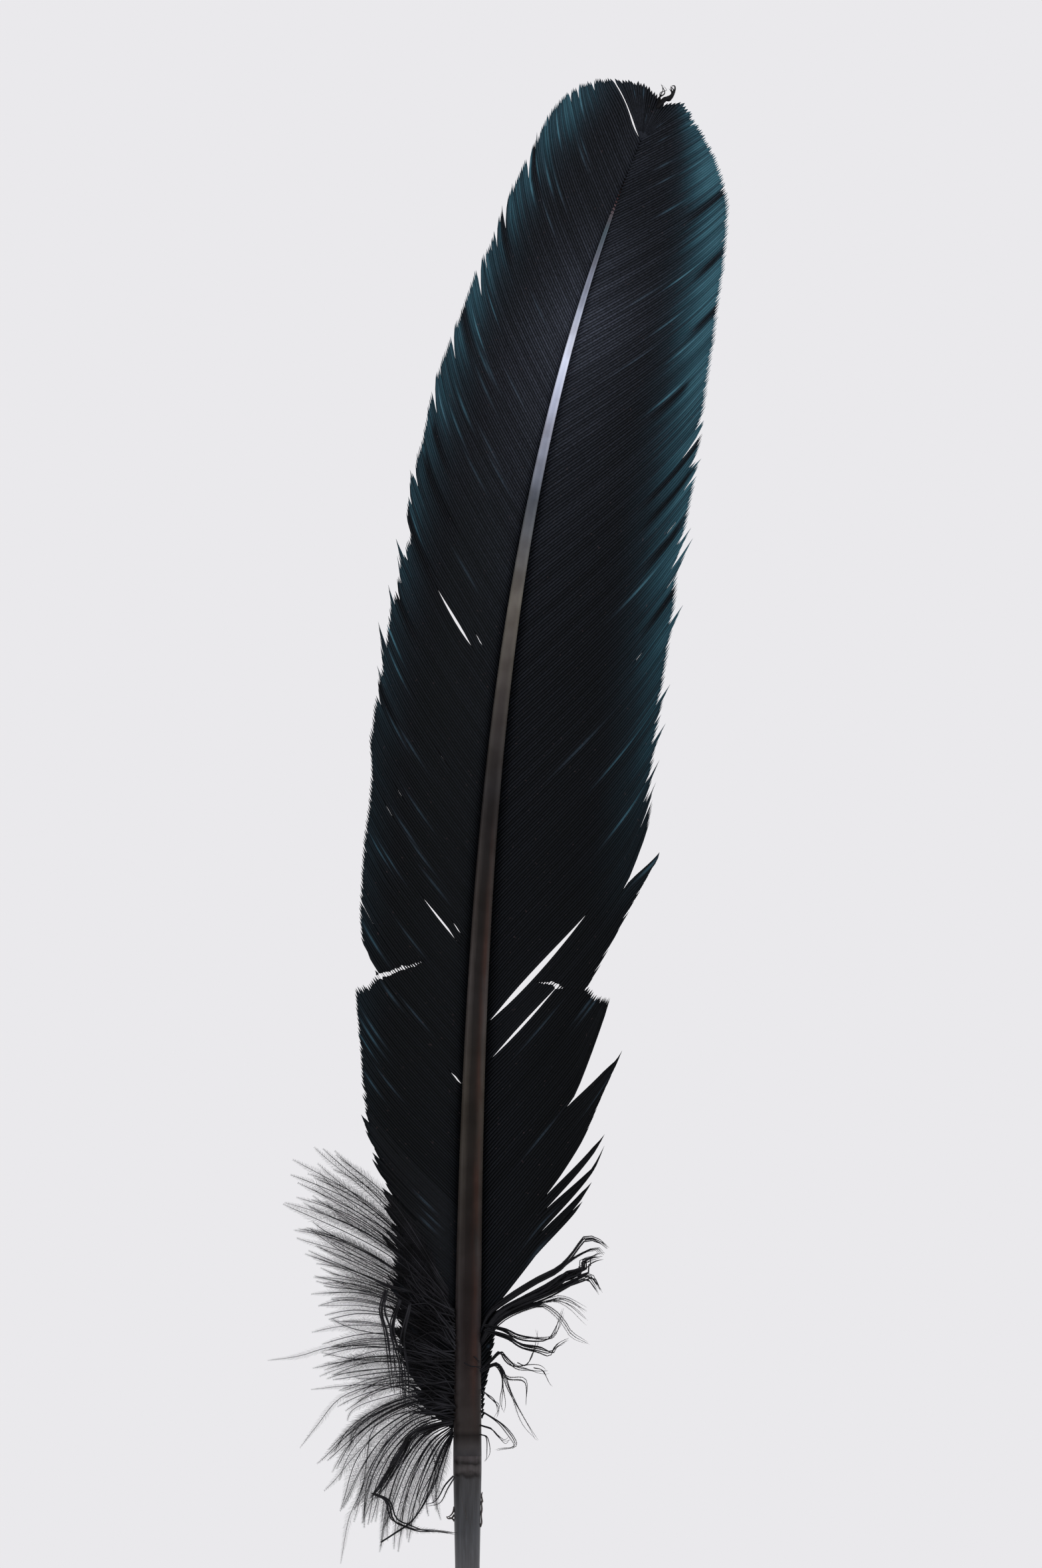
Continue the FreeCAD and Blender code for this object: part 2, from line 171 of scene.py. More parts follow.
def shaft_x(height):
    share = height / SHAFT_LENGTH
    return SWEEP * (EARLY_BEND * share**2 + LATE_BEND * share**4)


def shaft_y(height):
    return -SAG * np.maximum(height / SHAFT_LENGTH, 0) ** 2


def shaft_tilt(height):
    share = height / SHAFT_LENGTH
    return np.arctan(SWEEP * (2 * EARLY_BEND * share + 4 * LATE_BEND * share**3) / SHAFT_LENGTH)


def shaft_width(height):
    left_over = np.maximum(1 - height / SHAFT_LENGTH, 0)
    return np.maximum(SHAFT_END_WIDTH, 2 * BARREL_RADIUS * left_over**0.75)


def shaft_depth(height):
    return shaft_width(height) * (1 - 0.08 * np.clip(height / 25, 0, 1))


# %% [markdown]
# ## The barbs' field
#
# A barb leaves the shaft at 40 to 50 degrees and turns towards the tip near its end. Its angle
# changes slowly up the shaft, so a few stations are enough. A vane made as a sheet with a striped
# bump looks printed: its edge, splits, gloss and painted sheen all come from separate barbs, so
# each barb is modelled here. Above the shaft's end, "height" only turns the barbs, so that they fan out.

# %% Stations and the field of barb lines
# height, left length, left angle, right length, right angle, share of the turn towards the tip
STATIONS = np.array([
    [0.0, 26.0, 52.0, 40.0, 36.0, 1.0],
    [28.0, 31.0, 50.0, 50.0, 38.0, 1.0],
    [70.0, 41.0, 45.0, 54.5, 40.5, 1.0],
    [112.0, 46.5, 42.0, 60.5, 41.0, 1.0],
    [165.0, 45.0, 40.0, 57.5, 42.0, 1.0],
    [215.0, 39.0, 41.0, 45.5, 45.0, 1.0],
    [250.0, 33.0, 41.0, 33.5, 45.0, 1.0],
    [268.0, 22.0, 45.0, 20.0, 43.0, 0.6],
    [277.0, 15.0, 48.0, 13.0, 40.0, 0.1],
    [292.0, 12.0, -2.0, 12.0, -2.0, 0.0],
])
LEFT, RIGHT = -1, 1
TURN = {LEFT: math.radians(24.0), RIGHT: math.radians(18.0)}
TURN_POWER = 2.5
FIELD_GAP = 0.5
FIELD_HEIGHTS = np.arange(0, 292 + FIELD_GAP, FIELD_GAP)
FIELD_REACH = np.arange(0, 80 + FIELD_GAP, FIELD_GAP)


def station(height, side, what):
    column = {"length": 1, "angle": 2}[what] + (2 if side == RIGHT else 0)
    return np.interp(height, STATIONS[:, 0], STATIONS[:, column])


def make_field(side):
    """Where a point on a barb lies: x and rise for every root height and distance along it."""
    roots = np.minimum(FIELD_HEIGHTS, SHAFT_LENGTH)
    middle = (FIELD_REACH[1:] + FIELD_REACH[:-1]) / 2
    share = np.minimum(middle[None, :] / station(FIELD_HEIGHTS, side, "length")[:, None], 1.3)
    turn = TURN[side] * np.interp(FIELD_HEIGHTS, STATIONS[:, 0], STATIONS[:, 5])[:, None]
    angle = np.radians(station(FIELD_HEIGHTS, side, "angle"))[:, None]
    heading = shaft_tilt(roots)[:, None] + side * (angle - turn * share**TURN_POWER)
    zero = np.zeros((len(roots), 1))
    start = shaft_x(roots) + side * np.maximum(shaft_width(roots) / 2 - 0.15, 0)
    x = start[:, None] + np.hstack([zero, np.cumsum(np.sin(heading), axis=1)]) * FIELD_GAP
    rise = roots[:, None] + np.hstack([zero, np.cumsum(np.cos(heading), axis=1)]) * FIELD_GAP
    return x, rise


field = {side: make_field(side) for side in (LEFT, RIGHT)}
print("field samples on each side:", field[LEFT][0].shape)


def field_point(side, height, distance):
    """Read the field between its samples."""
    row = np.clip(height / FIELD_GAP, 0, len(FIELD_HEIGHTS) - 1.001)
    column = np.clip(distance / FIELD_GAP, 0, len(FIELD_REACH) - 1.001)
    i, j = row.astype(int), column.astype(int)
    a, b = row - i, column - j
    return [
        (1 - a) * (1 - b) * f[i, j] + a * (1 - b) * f[i + 1, j]
        + (1 - a) * b * f[i, j + 1] + a * b * f[i + 1, j + 1]
        for f in field[side]
    ]


# %% [markdown]
# ## Splits, fingers and worn places
#
# A used feather is not whole. Where hooks have let go, neighbouring barbs part: a lens of light
# inside the vane, or a notch at its edge. Elsewhere barbs cling together into a pointed finger.
# Both only shift a barb's effective root height as it runs outwards, so two short lists hold them.

# %% Partings and fingers
# side, root height, from, to (mm along the barb), push both ways, reach up, reach down
CLOSED_SPLITS = [
    (LEFT, 162.5, 9.5, 25.0, 0.55, 14, 14),
    (LEFT, 165.5, 6.8, 8.3, 0.40, 6, 6),
    (LEFT, 105.2, 4.0, 17.5, 0.42, 12, 12),
    (LEFT, 107.0, 3.0, 6.4, 0.35, 6, 6),
    (LEFT, 78.0, 0.6, 4.2, 0.40, 6, 6),
    (LEFT, 28.7, 4.0, 6.5, 0.40, 6, 6),
    (LEFT, 135.7, 11.0, 18.5, 0.16, 8, 8),
    (LEFT, 118.0, 24.0, 31.0, 0.15, 8, 8),
    (LEFT, 112.0, 27.0, 33.0, 0.14, 8, 8),
    (LEFT, 99.0, 25.0, 33.0, 0.16, 8, 8),
    (RIGHT, 162.3, 45.5, 50.0, 0.35, 6, 6),
    (RIGHT, 147.0, 49.5, 51.5, 0.35, 6, 6),
    (RIGHT, 138.5, 40.5, 45.5, 0.28, 6, 6),
    (RIGHT, 145.0, 36.0, 40.0, 0.22, 6, 6),
    (RIGHT, 90.5, 1.6, 33.5, 1.10, 30, 8),
    (RIGHT, 82.0, 2.4, 25.4, 0.62, 8, 20),
]
# side, root height, from, to, push up, push down, reach up, reach down; these stay open
OPEN_NOTCHES = [
    (RIGHT, 85.0, 46.2, 55.2, 5.0, 0.0, 22, 1),
    (RIGHT, 51.5, 30.8, 43.2, 11.0, 0.0, 16, 1),
    (RIGHT, 173.8, 49.5, 55.0, 2.2, 1.2, 9, 9),
    (LEFT, 169.8, 37.0, 44.0, 1.5, 1.2, 8, 8),
    (LEFT, 156.5, 35.0, 43.0, 1.2, 1.2, 8, 8),
    (LEFT, 261.0, 24.5, 27.5, 0.5, 0.4, 5, 5),
    (LEFT, 263.5, 22.5, 25.0, 0.5, 0.3, 5, 5),
    (LEFT, 269.5, 17.6, 19.5, 0.4, 0.3, 5, 5),
    (LEFT, 283.0, 10.6, 12.4, 0.4, 0.3, 4, 4),
]
# side, lowest root, highest root, root height that the tip points from, from, to, how tight
FINGERS = [
    (RIGHT, 73.5, 85.0, 67.5, 46.0, 71.8, 0.96),
    (RIGHT, 38.0, 51.5, 41.0, 26.5, 53.5, 0.95),
    (RIGHT, 35.3, 38.0, 29.3, 20.0, 46.0, 0.92),
    (RIGHT, 30.8, 35.3, 26.6, 19.5, 41.0, 0.94),
    (RIGHT, 28.8, 30.8, 23.5, 18.0, 41.0, 0.94),
    (RIGHT, 27.2, 28.8, 22.2, 18.5, 40.0, 0.94),
]
SPIKES = {
    LEFT: [(245, 35.4), (233.5, 36.6), (228.5, 37.2), (219, 37), (203, 41),
           (190, 42.5), (169.5, 45.2), (156, 44), (153, 42), (146.5, 44.5), (137, 46),
           (131, 43)],
    RIGHT: [(184, 52.2), (173.5, 55.8), (155, 57.5), (151, 60.2), (135.5, 59.6), (119.5, 58.6),
            (111, 59), (102, 57.8), (96, 57.2)],
}
# the long curved split beside the tip: its root height, reach, half width, bow and length, and the
# fan's turn per step
TIP_SPLIT = 276.6
TIP_SPLIT_REACH = 9.0
TIP_SPLIT_GAP = 0.2
TIP_SPLIT_BOW = 1.2
TIP_SPLIT_LENGTH = 15.0
FAN_STEP = math.radians(47 / 15)
LENS_SKEW, NOTCH_POWER, FINGER_POWER = 0.75, 1.2, 1.3
SPIKE_ROOTS = 4.5
SPIKE_TIGHT = 0.7
SPIKE_RUN = {LEFT: 6.0, RIGHT: 9.0}
SPIKE_LEAN = {LEFT: 0.4, RIGHT: 1.2}
SPIKE_GAP = {LEFT: 0.5, RIGHT: 1.6}
# how fast a spike's barbs shorten, the most they outgrow the line, and the notch's reach above it
SPIKE_FALL = 1.6
SPIKE_GROWTH = 5.0
SPIKE_NOTCH = 2.5


def lens(distance, start, end):
    """The opening of a split that closes again, widest nearer its start."""
    return np.sin(np.pi * np.clip((distance - start) / (end - start), 0, 1) ** LENS_SKEW)


def widening(distance, start, end):
    """The opening of a notch that runs out of the edge."""
    return np.clip((distance - start) / (end - start), 0, 1.6) ** NOTCH_POWER


def shifted(side, height, distance):
    """The root height that a barb seems to come from, at each distance along it."""
    moved = np.zeros_like(distance)
    closed = [(*split[:5], *split[4:], lens) for split in CLOSED_SPLITS]
    for part in closed + [(*notch, widening) for notch in OPEN_NOTCHES]:
        where, centre, start, end, up, down, reach_up, reach_down, shape = part
        if where != side:
            continue
        opening = shape(distance, start, end)
        gap = height - centre
        moved += np.where(gap >= 0, up * np.clip(1 - gap / reach_up, 0, 1),
                          -down * np.clip(1 + gap / reach_down, 0, 1)) * opening
    if side == LEFT:
        near = np.clip(1 - np.abs(height - TIP_SPLIT) / TIP_SPLIT_REACH, 0, 1)
        opening = np.clip((distance - 0.6) / 4, 0, 1) / (FAN_STEP * np.maximum(distance, 3))
        bow = TIP_SPLIT_BOW * np.sin(np.pi * np.clip(distance / TIP_SPLIT_LENGTH, 0, 1))
        moved += near * (np.sign(height - TIP_SPLIT) * TIP_SPLIT_GAP * opening + bow)
    fingers = [f for f in FINGERS if f[0] == side]
    fingers += [(side, h - SPIKE_ROOTS, h, h - SPIKE_LEAN[side], d - SPIKE_RUN[side], d, SPIKE_TIGHT)
                for h, d in SPIKES[side]]
    for where, low, high, tip, start, end, tight in fingers:
        inside = (height >= low) & (height < high)
        pull = np.clip((distance - start) / (end - start), 0, 1) ** FINGER_POWER * tight
        moved += np.where(inside, (tip - height) * pull, 0)
    return height + moved


print(len(CLOSED_SPLITS), "splits,", len(OPEN_NOTCHES), "notches,", len(FINGERS), "fingers and",
      len(SPIKES[LEFT]) + len(SPIKES[RIGHT]), "spikes")


# %% [markdown]
# ## The cutting line
#
# The feather's outline is laid out like a paper pattern. Each barb grows outwards until it meets
# the line. Spikes then let a few barbs grow on, and the fingers have lengths of their own.

# %% The outline and each barb's length
# height in the frame and x, in millimetres
LEFT_EDGE = np.array([
    [60, -19.0], [74, -17.0], [81, -18.1], [88, -19.3], [95, -20.3], [102, -20.9], [109, -22.0],
    [116, -22.3], [123, -22.8], [130, -23.5], [133.6, -23.6], [134.0, -21.0], [136.5, -19.0],
    [144, -22.4], [151, -22.7], [158, -22.3], [165, -21.9], [172, -20.8], [179, -20.2],
    [186, -20.6], [193, -19.6], [200, -18.4], [207, -17.2], [214, -16.2], [221, -14.2],
    [226, -13.2], [229, -11.9], [232, -12.9], [242, -11.8], [249, -9.4], [256, -8.2], [263, -6.4],
    [270, -3.7], [277, -0.9], [284, 1.6], [291, 5.2], [298, 7.6], [305, 11.0], [312, 14.6],
    [316, 16.4], [319, 18.5], [321.5, 21.0], [323.3, 24.0], [324.4, 27.5], [325.0, 45.0],
])
RIGHT_EDGE = np.array([
    [40, 40.0], [118, 40.0], [120, 32.8], [122.6, 29.6], [130.9, 30.5], [131.2, 29.0],
    [132.1, 26.8], [133.7, 25.4], [162.0, 40.6], [163.5, 37.7], [165, 37.8], [172, 38.9], [179, 38.8],
    [186, 39.9], [193, 41.0], [200, 41.6], [207, 42.8], [214, 43.8], [221, 44.3], [228, 45.6],
    [235, 46.9], [242, 48.3], [249, 49.2], [256, 50.0], [263, 50.9], [270, 52.1], [277, 52.8],
    [284, 53.9], [291, 54.7], [298, 55.0], [303, 53.9], [308, 52.2], [312, 50.1], [316, 47.6],
    [319, 45.6], [321.5, 43.0], [323.2, 39.8], [324.4, 36.0], [325.0, 27.0],
])
TOP_LINE = np.array([
    [13, 311.0], [14.5, 313.5], [16.7, 317.2], [19.5, 320.4], [21.9, 322.3], [24.5, 324.0],
    [27.4, 324.6], [29.9, 324.7], [32.7, 324.3], [36.3, 323.6], [38.1, 322.7], [40.2, 320.9],
    [40.9, 319.4], [42.5, 319.4], [45.6, 319.6], [46.7, 318.2], [48.8, 315.8], [50.2, 314.4],
    [50.9, 311.9], [52.7, 309.0], [54.5, 304.7], [58.0, 299.0],
])
# root height and length where a barb loosens to down (left), and the fingers' lengths (right)
LEFT_LOOSENS = np.array([[6, 11.0], [12, 15.0], [22, 17.5], [30, 18.5], [35, 19.5], [40.5, 21.5],
                         [45, 25.0], [49, 33.0]])
DOWN_TOP = 49.0
RIGHT_SHORT = np.array([[8, 0.8], [12, 1.4], [16, 3.0], [20, 4.6], [24, 5.8], [27.2, 6.2]])
# lowest root, highest root, length of the longest barb, where it is, and how fast the rest shorten
FINGER_TIPS = [(38.0, 51.5, 53.5, 48.0, 1.6), (35.3, 38.0, 46.3, 36.6, 1.8),
               (30.8, 35.3, 46.5, 33.5, 1.5), (28.8, 30.8, 42.0, 30.2, 2.2), (27.2, 28.8, 37.5, 28.2, 2.5)]


def grown_lengths(side, roots):
    """How far each barb grows before it meets the outline."""
    distance = np.broadcast_to(FIELD_REACH, (len(roots), len(FIELD_REACH)))
    seen = shifted(side, np.broadcast_to(roots[:, None], distance.shape), distance)
    x, rise = field_point(side, seen, distance)
    edge = LEFT_EDGE if side == LEFT else RIGHT_EDGE
    beyond = np.maximum(side * (x - np.interp(rise + UMBILICUS, edge[:, 0], edge[:, 1])),
                        rise + UMBILICUS - np.interp(x, TOP_LINE[:, 0], TOP_LINE[:, 1]))
    beyond[:, 0] = -1.0
    beyond[:, -1] = 1.0
    first = np.argmax(beyond > 0, axis=1)
    row = np.arange(len(roots))
    inner, outer = beyond[row, first - 1], beyond[row, first]
    lengths = FIELD_REACH[first - 1] + FIELD_GAP * np.clip(inner / (inner - outer), 0, 1)
    for height, tip in SPIKES[side]:
        below = (roots > height - SPIKE_ROOTS) & (roots <= height)
        rising = np.minimum(tip - (height - roots) * SPIKE_FALL, lengths + SPIKE_GROWTH)
        lengths = np.where(below, np.maximum(lengths, rising), lengths)
        above = (roots > height) & (roots < height + SPIKE_NOTCH)
        notch = SPIKE_GAP[side] * (1 - (roots - height) / SPIKE_NOTCH)
        lengths = np.where(above, lengths - notch, lengths)
    if side == LEFT:
        loosens = np.interp(roots, LEFT_LOOSENS[:, 0], LEFT_LOOSENS[:, 1])
        lengths = np.where(roots < DOWN_TOP, np.minimum(lengths, loosens), lengths)
    else:
        for low, high, tip, centre, fall in FINGER_TIPS:
            inside = (roots >= low) & (roots < high)
            lengths = np.where(inside, np.minimum(lengths, tip - np.abs(roots - centre) * fall), lengths)
        short = np.interp(roots, RIGHT_SHORT[:, 0], RIGHT_SHORT[:, 1])
        lengths = np.where(roots < RIGHT_SHORT[-1, 0], np.minimum(lengths, short), lengths)
    return lengths


BARB_PITCH = 0.476
EVEN_SHARE = 0.6


def even_roots(side, low, high):
    """Heights of the barbs' roots, one pitch apart across the barbs at EVEN_SHARE of their length."""
    heights = np.arange(low, high, 0.1)
    reach = station(heights, side, "length") * EVEN_SHARE
    x, rise = field_point(side, heights, reach)
    far_x, far_rise = field_point(side, heights, reach + 1)
    heading = np.arctan2(far_x - x, far_rise - rise)[1:]
    across = np.abs(np.diff(x) * np.cos(heading) - np.diff(rise) * np.sin(heading))
    travelled = np.concatenate([[0], np.cumsum(across)])
    return np.interp(np.arange(0, travelled[-1], BARB_PITCH), travelled, heights)


VANE_START, VANE_END = {LEFT: 6.0, RIGHT: 8.0}, 291.9
roots = {side: even_roots(side, VANE_START[side], VANE_END) for side in (LEFT, RIGHT)}
lengths = {side: grown_lengths(side, roots[side]) for side in (LEFT, RIGHT)}
print("barbs:", len(roots[LEFT]), "left and", len(roots[RIGHT]), "right")


# %% [markdown]
# ## One barb, modelled once
#
# The real barb is a blade: a ridge on the side that faces the writer, and two thin webs of
# barbules. It is modelled as a four-sided rod, cut across into rings, and closed at both ends.
# Each copy is then laid along its own line, ring by ring, with its own mesh data.

# %% The unit rod
def unit_rod(sides, rings):
    """Model a rod of unit length along Z, and give its ring, direction and faces as arrays."""
    bpy.ops.mesh.primitive_cylinder_add(vertices=sides, radius=1, depth=1, location=(0, 0, 0.5),
                                        end_fill_type="NGON")
    rod = bpy.context.object
    bpy.ops.object.mode_set(mode="EDIT")
    bpy.ops.mesh.select_all(action="DESELECT")
    bpy.ops.mesh.select_mode(type="EDGE")
    mesh = bmesh.from_edit_mesh(rod.data)
    for edge in mesh.edges:
        edge.select_set(abs(edge.verts[0].co.z - edge.verts[1].co.z) > 0.5)
    bmesh.update_edit_mesh(rod.data)
    bpy.ops.mesh.subdivide(number_cuts=rings - 2)
    bpy.ops.object.mode_set(mode="OBJECT")
    places = np.array([v.co for v in rod.data.vertices]) + [0, 0, 0.5]
    faces = [list(p.vertices) for p in rod.data.polygons]
    bpy.data.objects.remove(rod)
    ring = np.rint(places[:, 2] * (rings - 1)).astype(int)
    return {"ring": ring, "x": places[:, 0], "y": places[:, 1], "faces": faces, "rings": rings}


BARB_RINGS = 24
barb_rod = unit_rod(4, BARB_RINGS)
thread_rod = unit_rod(4, 20)
fluff_rod = unit_rod(3, 3)
print("one barb has", len(barb_rod["faces"]), "faces")


# %% Laying copies along lines
def unit(vectors):
    return vectors / np.maximum(np.linalg.norm(vectors, axis=-1, keepdims=True), 1e-12)


TO_WRITER = np.array([0.0, -1.0, 0.0])


def lay_rods(rod, lines, facing, width, depth, tilt=0.0):
    """Points of one rod copy for each line: lines are (copies, rings, 3) in mm, facing is the side
    that the ridge looks to, and width and depth are half sizes at each ring."""
    along = unit(np.gradient(lines, axis=1))
    facing = np.broadcast_to(facing, lines.shape)
    across = unit(np.cross(facing, along))
    out = np.cross(along, across)
    ring = rod["ring"]
    x, y = rod["x"][None, :, None], rod["y"][None, :, None]
    return (lines[:, ring] + across[:, ring] * x * width[:, ring, None]
            + out[:, ring] * (y + tilt * x) * depth[:, ring, None])


def copies_mesh(name, rod, points, attributes=None):
    """One mesh holding every copy; attributes are floats for each point."""
    copies, count = points.shape[:2]
    faces = [[v + i * count for v in face] for i in range(copies) for face in rod["faces"]]
    mesh = bpy.data.meshes.new(name)
    mesh.from_pydata((points.reshape(-1, 3) * MM).tolist(), [], faces)
    for key, values in (attributes or {}).items():
        mesh.attributes.new(key, "FLOAT", "POINT").data.foreach_set(
            "value", np.ascontiguousarray(values, dtype=np.float32).ravel())
    mesh.shade_smooth()
    mesh.update()
    return mesh


def join_meshes(name, meshes, material, body, node):
    """One object from several meshes, riding on its body in place of its plain node."""
    objects = []
    for mesh in meshes:
        piece = bpy.data.objects.new(name, mesh)
        bpy.context.scene.collection.objects.link(piece)
        objects.append(piece)
    bpy.ops.object.select_all(action="DESELECT")
    for piece in objects:
        piece.select_set(True)
    bpy.context.view_layer.objects.active = objects[0]
    if len(objects) > 1:
        bpy.ops.object.join()
    piece = objects[0]
    piece.data.materials.clear()
    piece.data.materials.append(material)
    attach(piece, body)
    for one in [node] if isinstance(node, str) else node:
        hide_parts(one)
    bpy.ops.object.select_all(action="DESELECT")
    triangles = sum(len(p.vertices) - 2 for p in piece.data.polygons)
    print(f"{name}: {triangles} triangles")
    return piece


# %% [markdown]
# ## The vane's finish
#
# The barbs are black melanin under a clear keratin skin. Towards the edges the skin is thin enough
# to colour the light: a dull petrol green, with painted shadow streaks where barbs lie lower. A
# separate value for each barb point carries that colour, because it follows the barbs and not the room.

# %% Material: black barbs, petrol green, and a painted sheen on the ridges
def vane_finish():
    # keratin over melanin: deep black, green near the edges, and a painted sheen added to the colour along
    # each ridge
    material, tree, shader = new_material("melanin_black_barb", roughness=0.48, specular=0.032)
    green, ridge, place = attribute(tree, "green"), attribute(tree, "ridge"), object_place(tree)
    flecks = noise(tree, place, 2600.0, 2.0)
    tone = calculate(tree, "MULTIPLY_ADD", noise(tree, place, 90.0, 6.0, 0.6), 0.45, -0.22)
    strength = calculate(tree, "ADD", green, tone, clamp=True)
    gated = calculate(tree, "MULTIPLY", strength, green, clamp=True)
    colour = ramp(tree, gated, [(0.0, "060708"), (0.2, "0e181d"), (0.55, "1b343d"), (1.0, "2f525d")])
    # painted sheen: a grey-violet colour added wherever the barbs' ridge value is high
    with_painted_sheen = mix(tree, calculate(tree, "MULTIPLY", ridge, flecks), colour, "363a44", "ADD")
    # dust: specks a quarter of a millimetre wide, a few to each square centimetre
    specks = ramp(tree, noise(tree, place, 1500.0, 1.0), [(0.735, "000000"), (0.765, "6a6a6a")])
    dress(tree, shader, mix(tree, specks, with_painted_sheen, "5a4a4c"), flecks, 0.25, 0.00004)
    return material


black_barb = vane_finish()


# %% [markdown]
# ## The two vanes
#
# The sheet of the vane follows the shaft's sag and falls away towards its edges. Each barb is laid
# on it, a little wider than its spacing so that neighbours overlap like tiles. Frayed bars, where
# the growing feather was once short of food, pinch the barbs' webs down to a thread.

# %% The sheet's depth, the frayed bars and the green
CAMBER = 4.5
CAMBER_REACH = 50.0
VANE_RISE = 0.3
# side and (root height, distance, how far the web is gone) along each frayed bar
FRAYED_BARS = [
    (LEFT, [(68.0, 37.5, 0.95), (71.5, 34.5, 0.97), (79.5, 27.8, 0.95), (86.0, 21.5, 0.75),
            (92.0, 15.5, 0.45), (96.0, 11.5, 0.0)]),
    (RIGHT, [(66.0, 41.0, 0.3), (73.5, 33.2, 0.5), (76.0, 29.5, 0.15), (79.5, 25.5, 0.2),
             (82.0, 23.0, 0.85), (86.0, 18.8, 0.92), (88.5, 16.5, 0.5), (90.0, 15.0, 0.0)]),
]
BAR_HALF_WIDTH = {LEFT: 0.57, RIGHT: 0.5}
# how many barbs get a painted glint, the share of their length that it covers, and how much green and
# sheen it adds
GLINT_BARB_SHARE = {LEFT: 0.13, RIGHT: 0.05}
GLINT_REACH = 0.11
GLINT_GREEN = 0.45
GLINT_SHEEN = 0.35
# side, root height, from, to: lines where one group of barbs dips under the next; the barbs are set back
# there and the green is darkened as a painted shadow
DIPS = [(RIGHT, 216, 34, 45), (RIGHT, 249, 20, 33), (RIGHT, 201, 28, 38), (RIGHT, 178, 32, 54),
        (RIGHT, 172, 34, 50), (RIGHT, 160, 38, 50), (RIGHT, 143.5, 42, 56), (RIGHT, 231, 30, 38),
        (LEFT, 176, 18, 36), (LEFT, 183, 24, 36), (LEFT, 162.5, 22, 40), (LEFT, 148, 26, 42),
        (LEFT, 128, 26, 42), (LEFT, 206, 26, 38), (LEFT, 228, 22, 36), (LEFT, 243, 20, 34)]


def vane_y(x, rise):
    """The sheet follows the shaft and falls away towards its edges."""
    reach = (x - shaft_x(rise)) / CAMBER_REACH
    return shaft_y(rise) + VANE_RISE * shaft_depth(np.minimum(rise, SHAFT_LENGTH)) / 2 - CAMBER * reach**2


def dips(side, height, distance, ease_in, ease_out, half_width):
    """How strong each shadow line is here, from 0 to 1."""
    for where, centre, start, end in DIPS:
        if where == side:
            run = np.clip((distance - start) / ease_in, 0, 1)
            run = run * np.clip((end + ease_out - distance) / ease_out, 0, 1)
            yield run * np.exp(-((height - centre) / half_width) ** 2)


# where the green starts and is full, as shares of a barb, and its strength by root height
GREEN_SHARES = {LEFT: (0.42, 0.95), RIGHT: (0.38, 0.94)}
GREEN_HEIGHTS = [0, 50, 75, 110, 150, 200, 260, 277, 292]
GREEN_LEVELS = {LEFT: [0, 0.3, 0.4, 0.45, 0.6, 0.72, 0.8, 0.4, 0.1],
                RIGHT: [0, 0.05, 0.15, 0.6, 0.85, 0.95, 1.0, 0.85, 0.1]}
# how much a dip darkens the green, as a painted shadow, and how far it sets the barbs back
DIP_SHADE = 0.75
DIP_DEPTH = 0.45


def green_amount(side, height, distance, length):
    low, high = GREEN_SHARES[side]
    reach = np.clip((distance / np.maximum(length, 1) - low) / (high - low), 0, 1)
    amount = reach * reach * (3 - 2 * reach) * np.interp(height, GREEN_HEIGHTS, GREEN_LEVELS[side])
    # painted shadow: the green is darkened along each dip line
    for dip in dips(side, height, distance, 5, 3, 1.3):
        amount = amount * (1 - DIP_SHADE * dip)
    return amount


def dip_depth(side, height, distance):
    return sum(DIP_DEPTH * dip for dip in dips(side, height, distance, 8, 4, 1.5))


print("petrol green from", GREEN_SHARES[LEFT][0], "of the left barbs and", GREEN_SHARES[RIGHT][0],
      "of the right ones;", len(DIPS), "shadow lines")

# %% [markdown]
# ## A barb's rings
#
# The rings lie closer near the tip. Four of them gather round a frayed bar, where they carry the
# pinched web; a barb that meets no bar has them at its middle.

# %% Rings along the barbs
BAR_RINGS = np.array([-1.5, -0.8, 0.8, 1.5])
RING_POWER = 0.92
BAR_WANDER = 0.12
NO_BAR = -50.0


def barb_rings(side, roots_here, lengths_here):
    """Distances of the rings along each barb, and how whole the web is at each."""
    shares = np.linspace(0, 1, BARB_RINGS - len(BAR_RINGS)) ** RING_POWER
    spread = shares[None, :] * lengths_here[:, None]
    bar = next(points for where, points in FRAYED_BARS if where == side)
    heights, places, gone = np.array(bar).T
    centre = np.interp(roots_here, heights, places, left=NO_BAR, right=NO_BAR)
    lost = np.interp(roots_here, heights, gone, left=0, right=0)
    crossed = (centre > 0) & (centre < lengths_here - 0.8)
    centre = np.where(crossed, centre + rng.normal(0, BAR_WANDER, len(centre)), lengths_here / 2)
    half = BAR_HALF_WIDTH[side] * rng.uniform(0.6, 1.2, len(centre)) * (0.4 + 0.6 * lost)
    extra = centre[:, None] + half[:, None] * BAR_RINGS
    rings = np.sort(np.hstack([spread, np.clip(extra, 0, lengths_here[:, None])]), axis=1)
    nearness = np.abs(rings - centre[:, None]) / half[:, None]
    web = 1 - np.where(crossed, lost * rng.uniform(0.75, 1.0, len(lost)), 0)[:, None] * (nearness < 1)
    return rings, web


# %% [markdown]
# ## Painted sheen and colour along the barbs
#
# Two values ride on every point: how green the skin is, and how strong the painted sheen on the ridge
# is. It is strongest beside the shaft's upper part, and each barb has a share of its own.

# %% Painted ridge sheen and green for each barb
# how strong the painted sheen on the ridges is, beside the shaft and everywhere, by height along it
PAINTED_SHEEN_HEIGHTS = [20, 60, 130, 170, 200, 225, 238, 250, 262]
PAINTED_SHEEN_BESIDE_SHAFT = [0.2, 0.1, 0.06, 0.12, 0.3, 0.8, 1.5, 0.8, 0.2]
PAINTED_SHEEN_REACH = 0.42
PAINTED_SHEEN_EVERYWHERE_HEIGHTS = [20, 110, 170, 220, 262, 300]
PAINTED_SHEEN_EVERYWHERE = [0.05, 0.1, 0.18, 0.3, 0.42, 0.45]


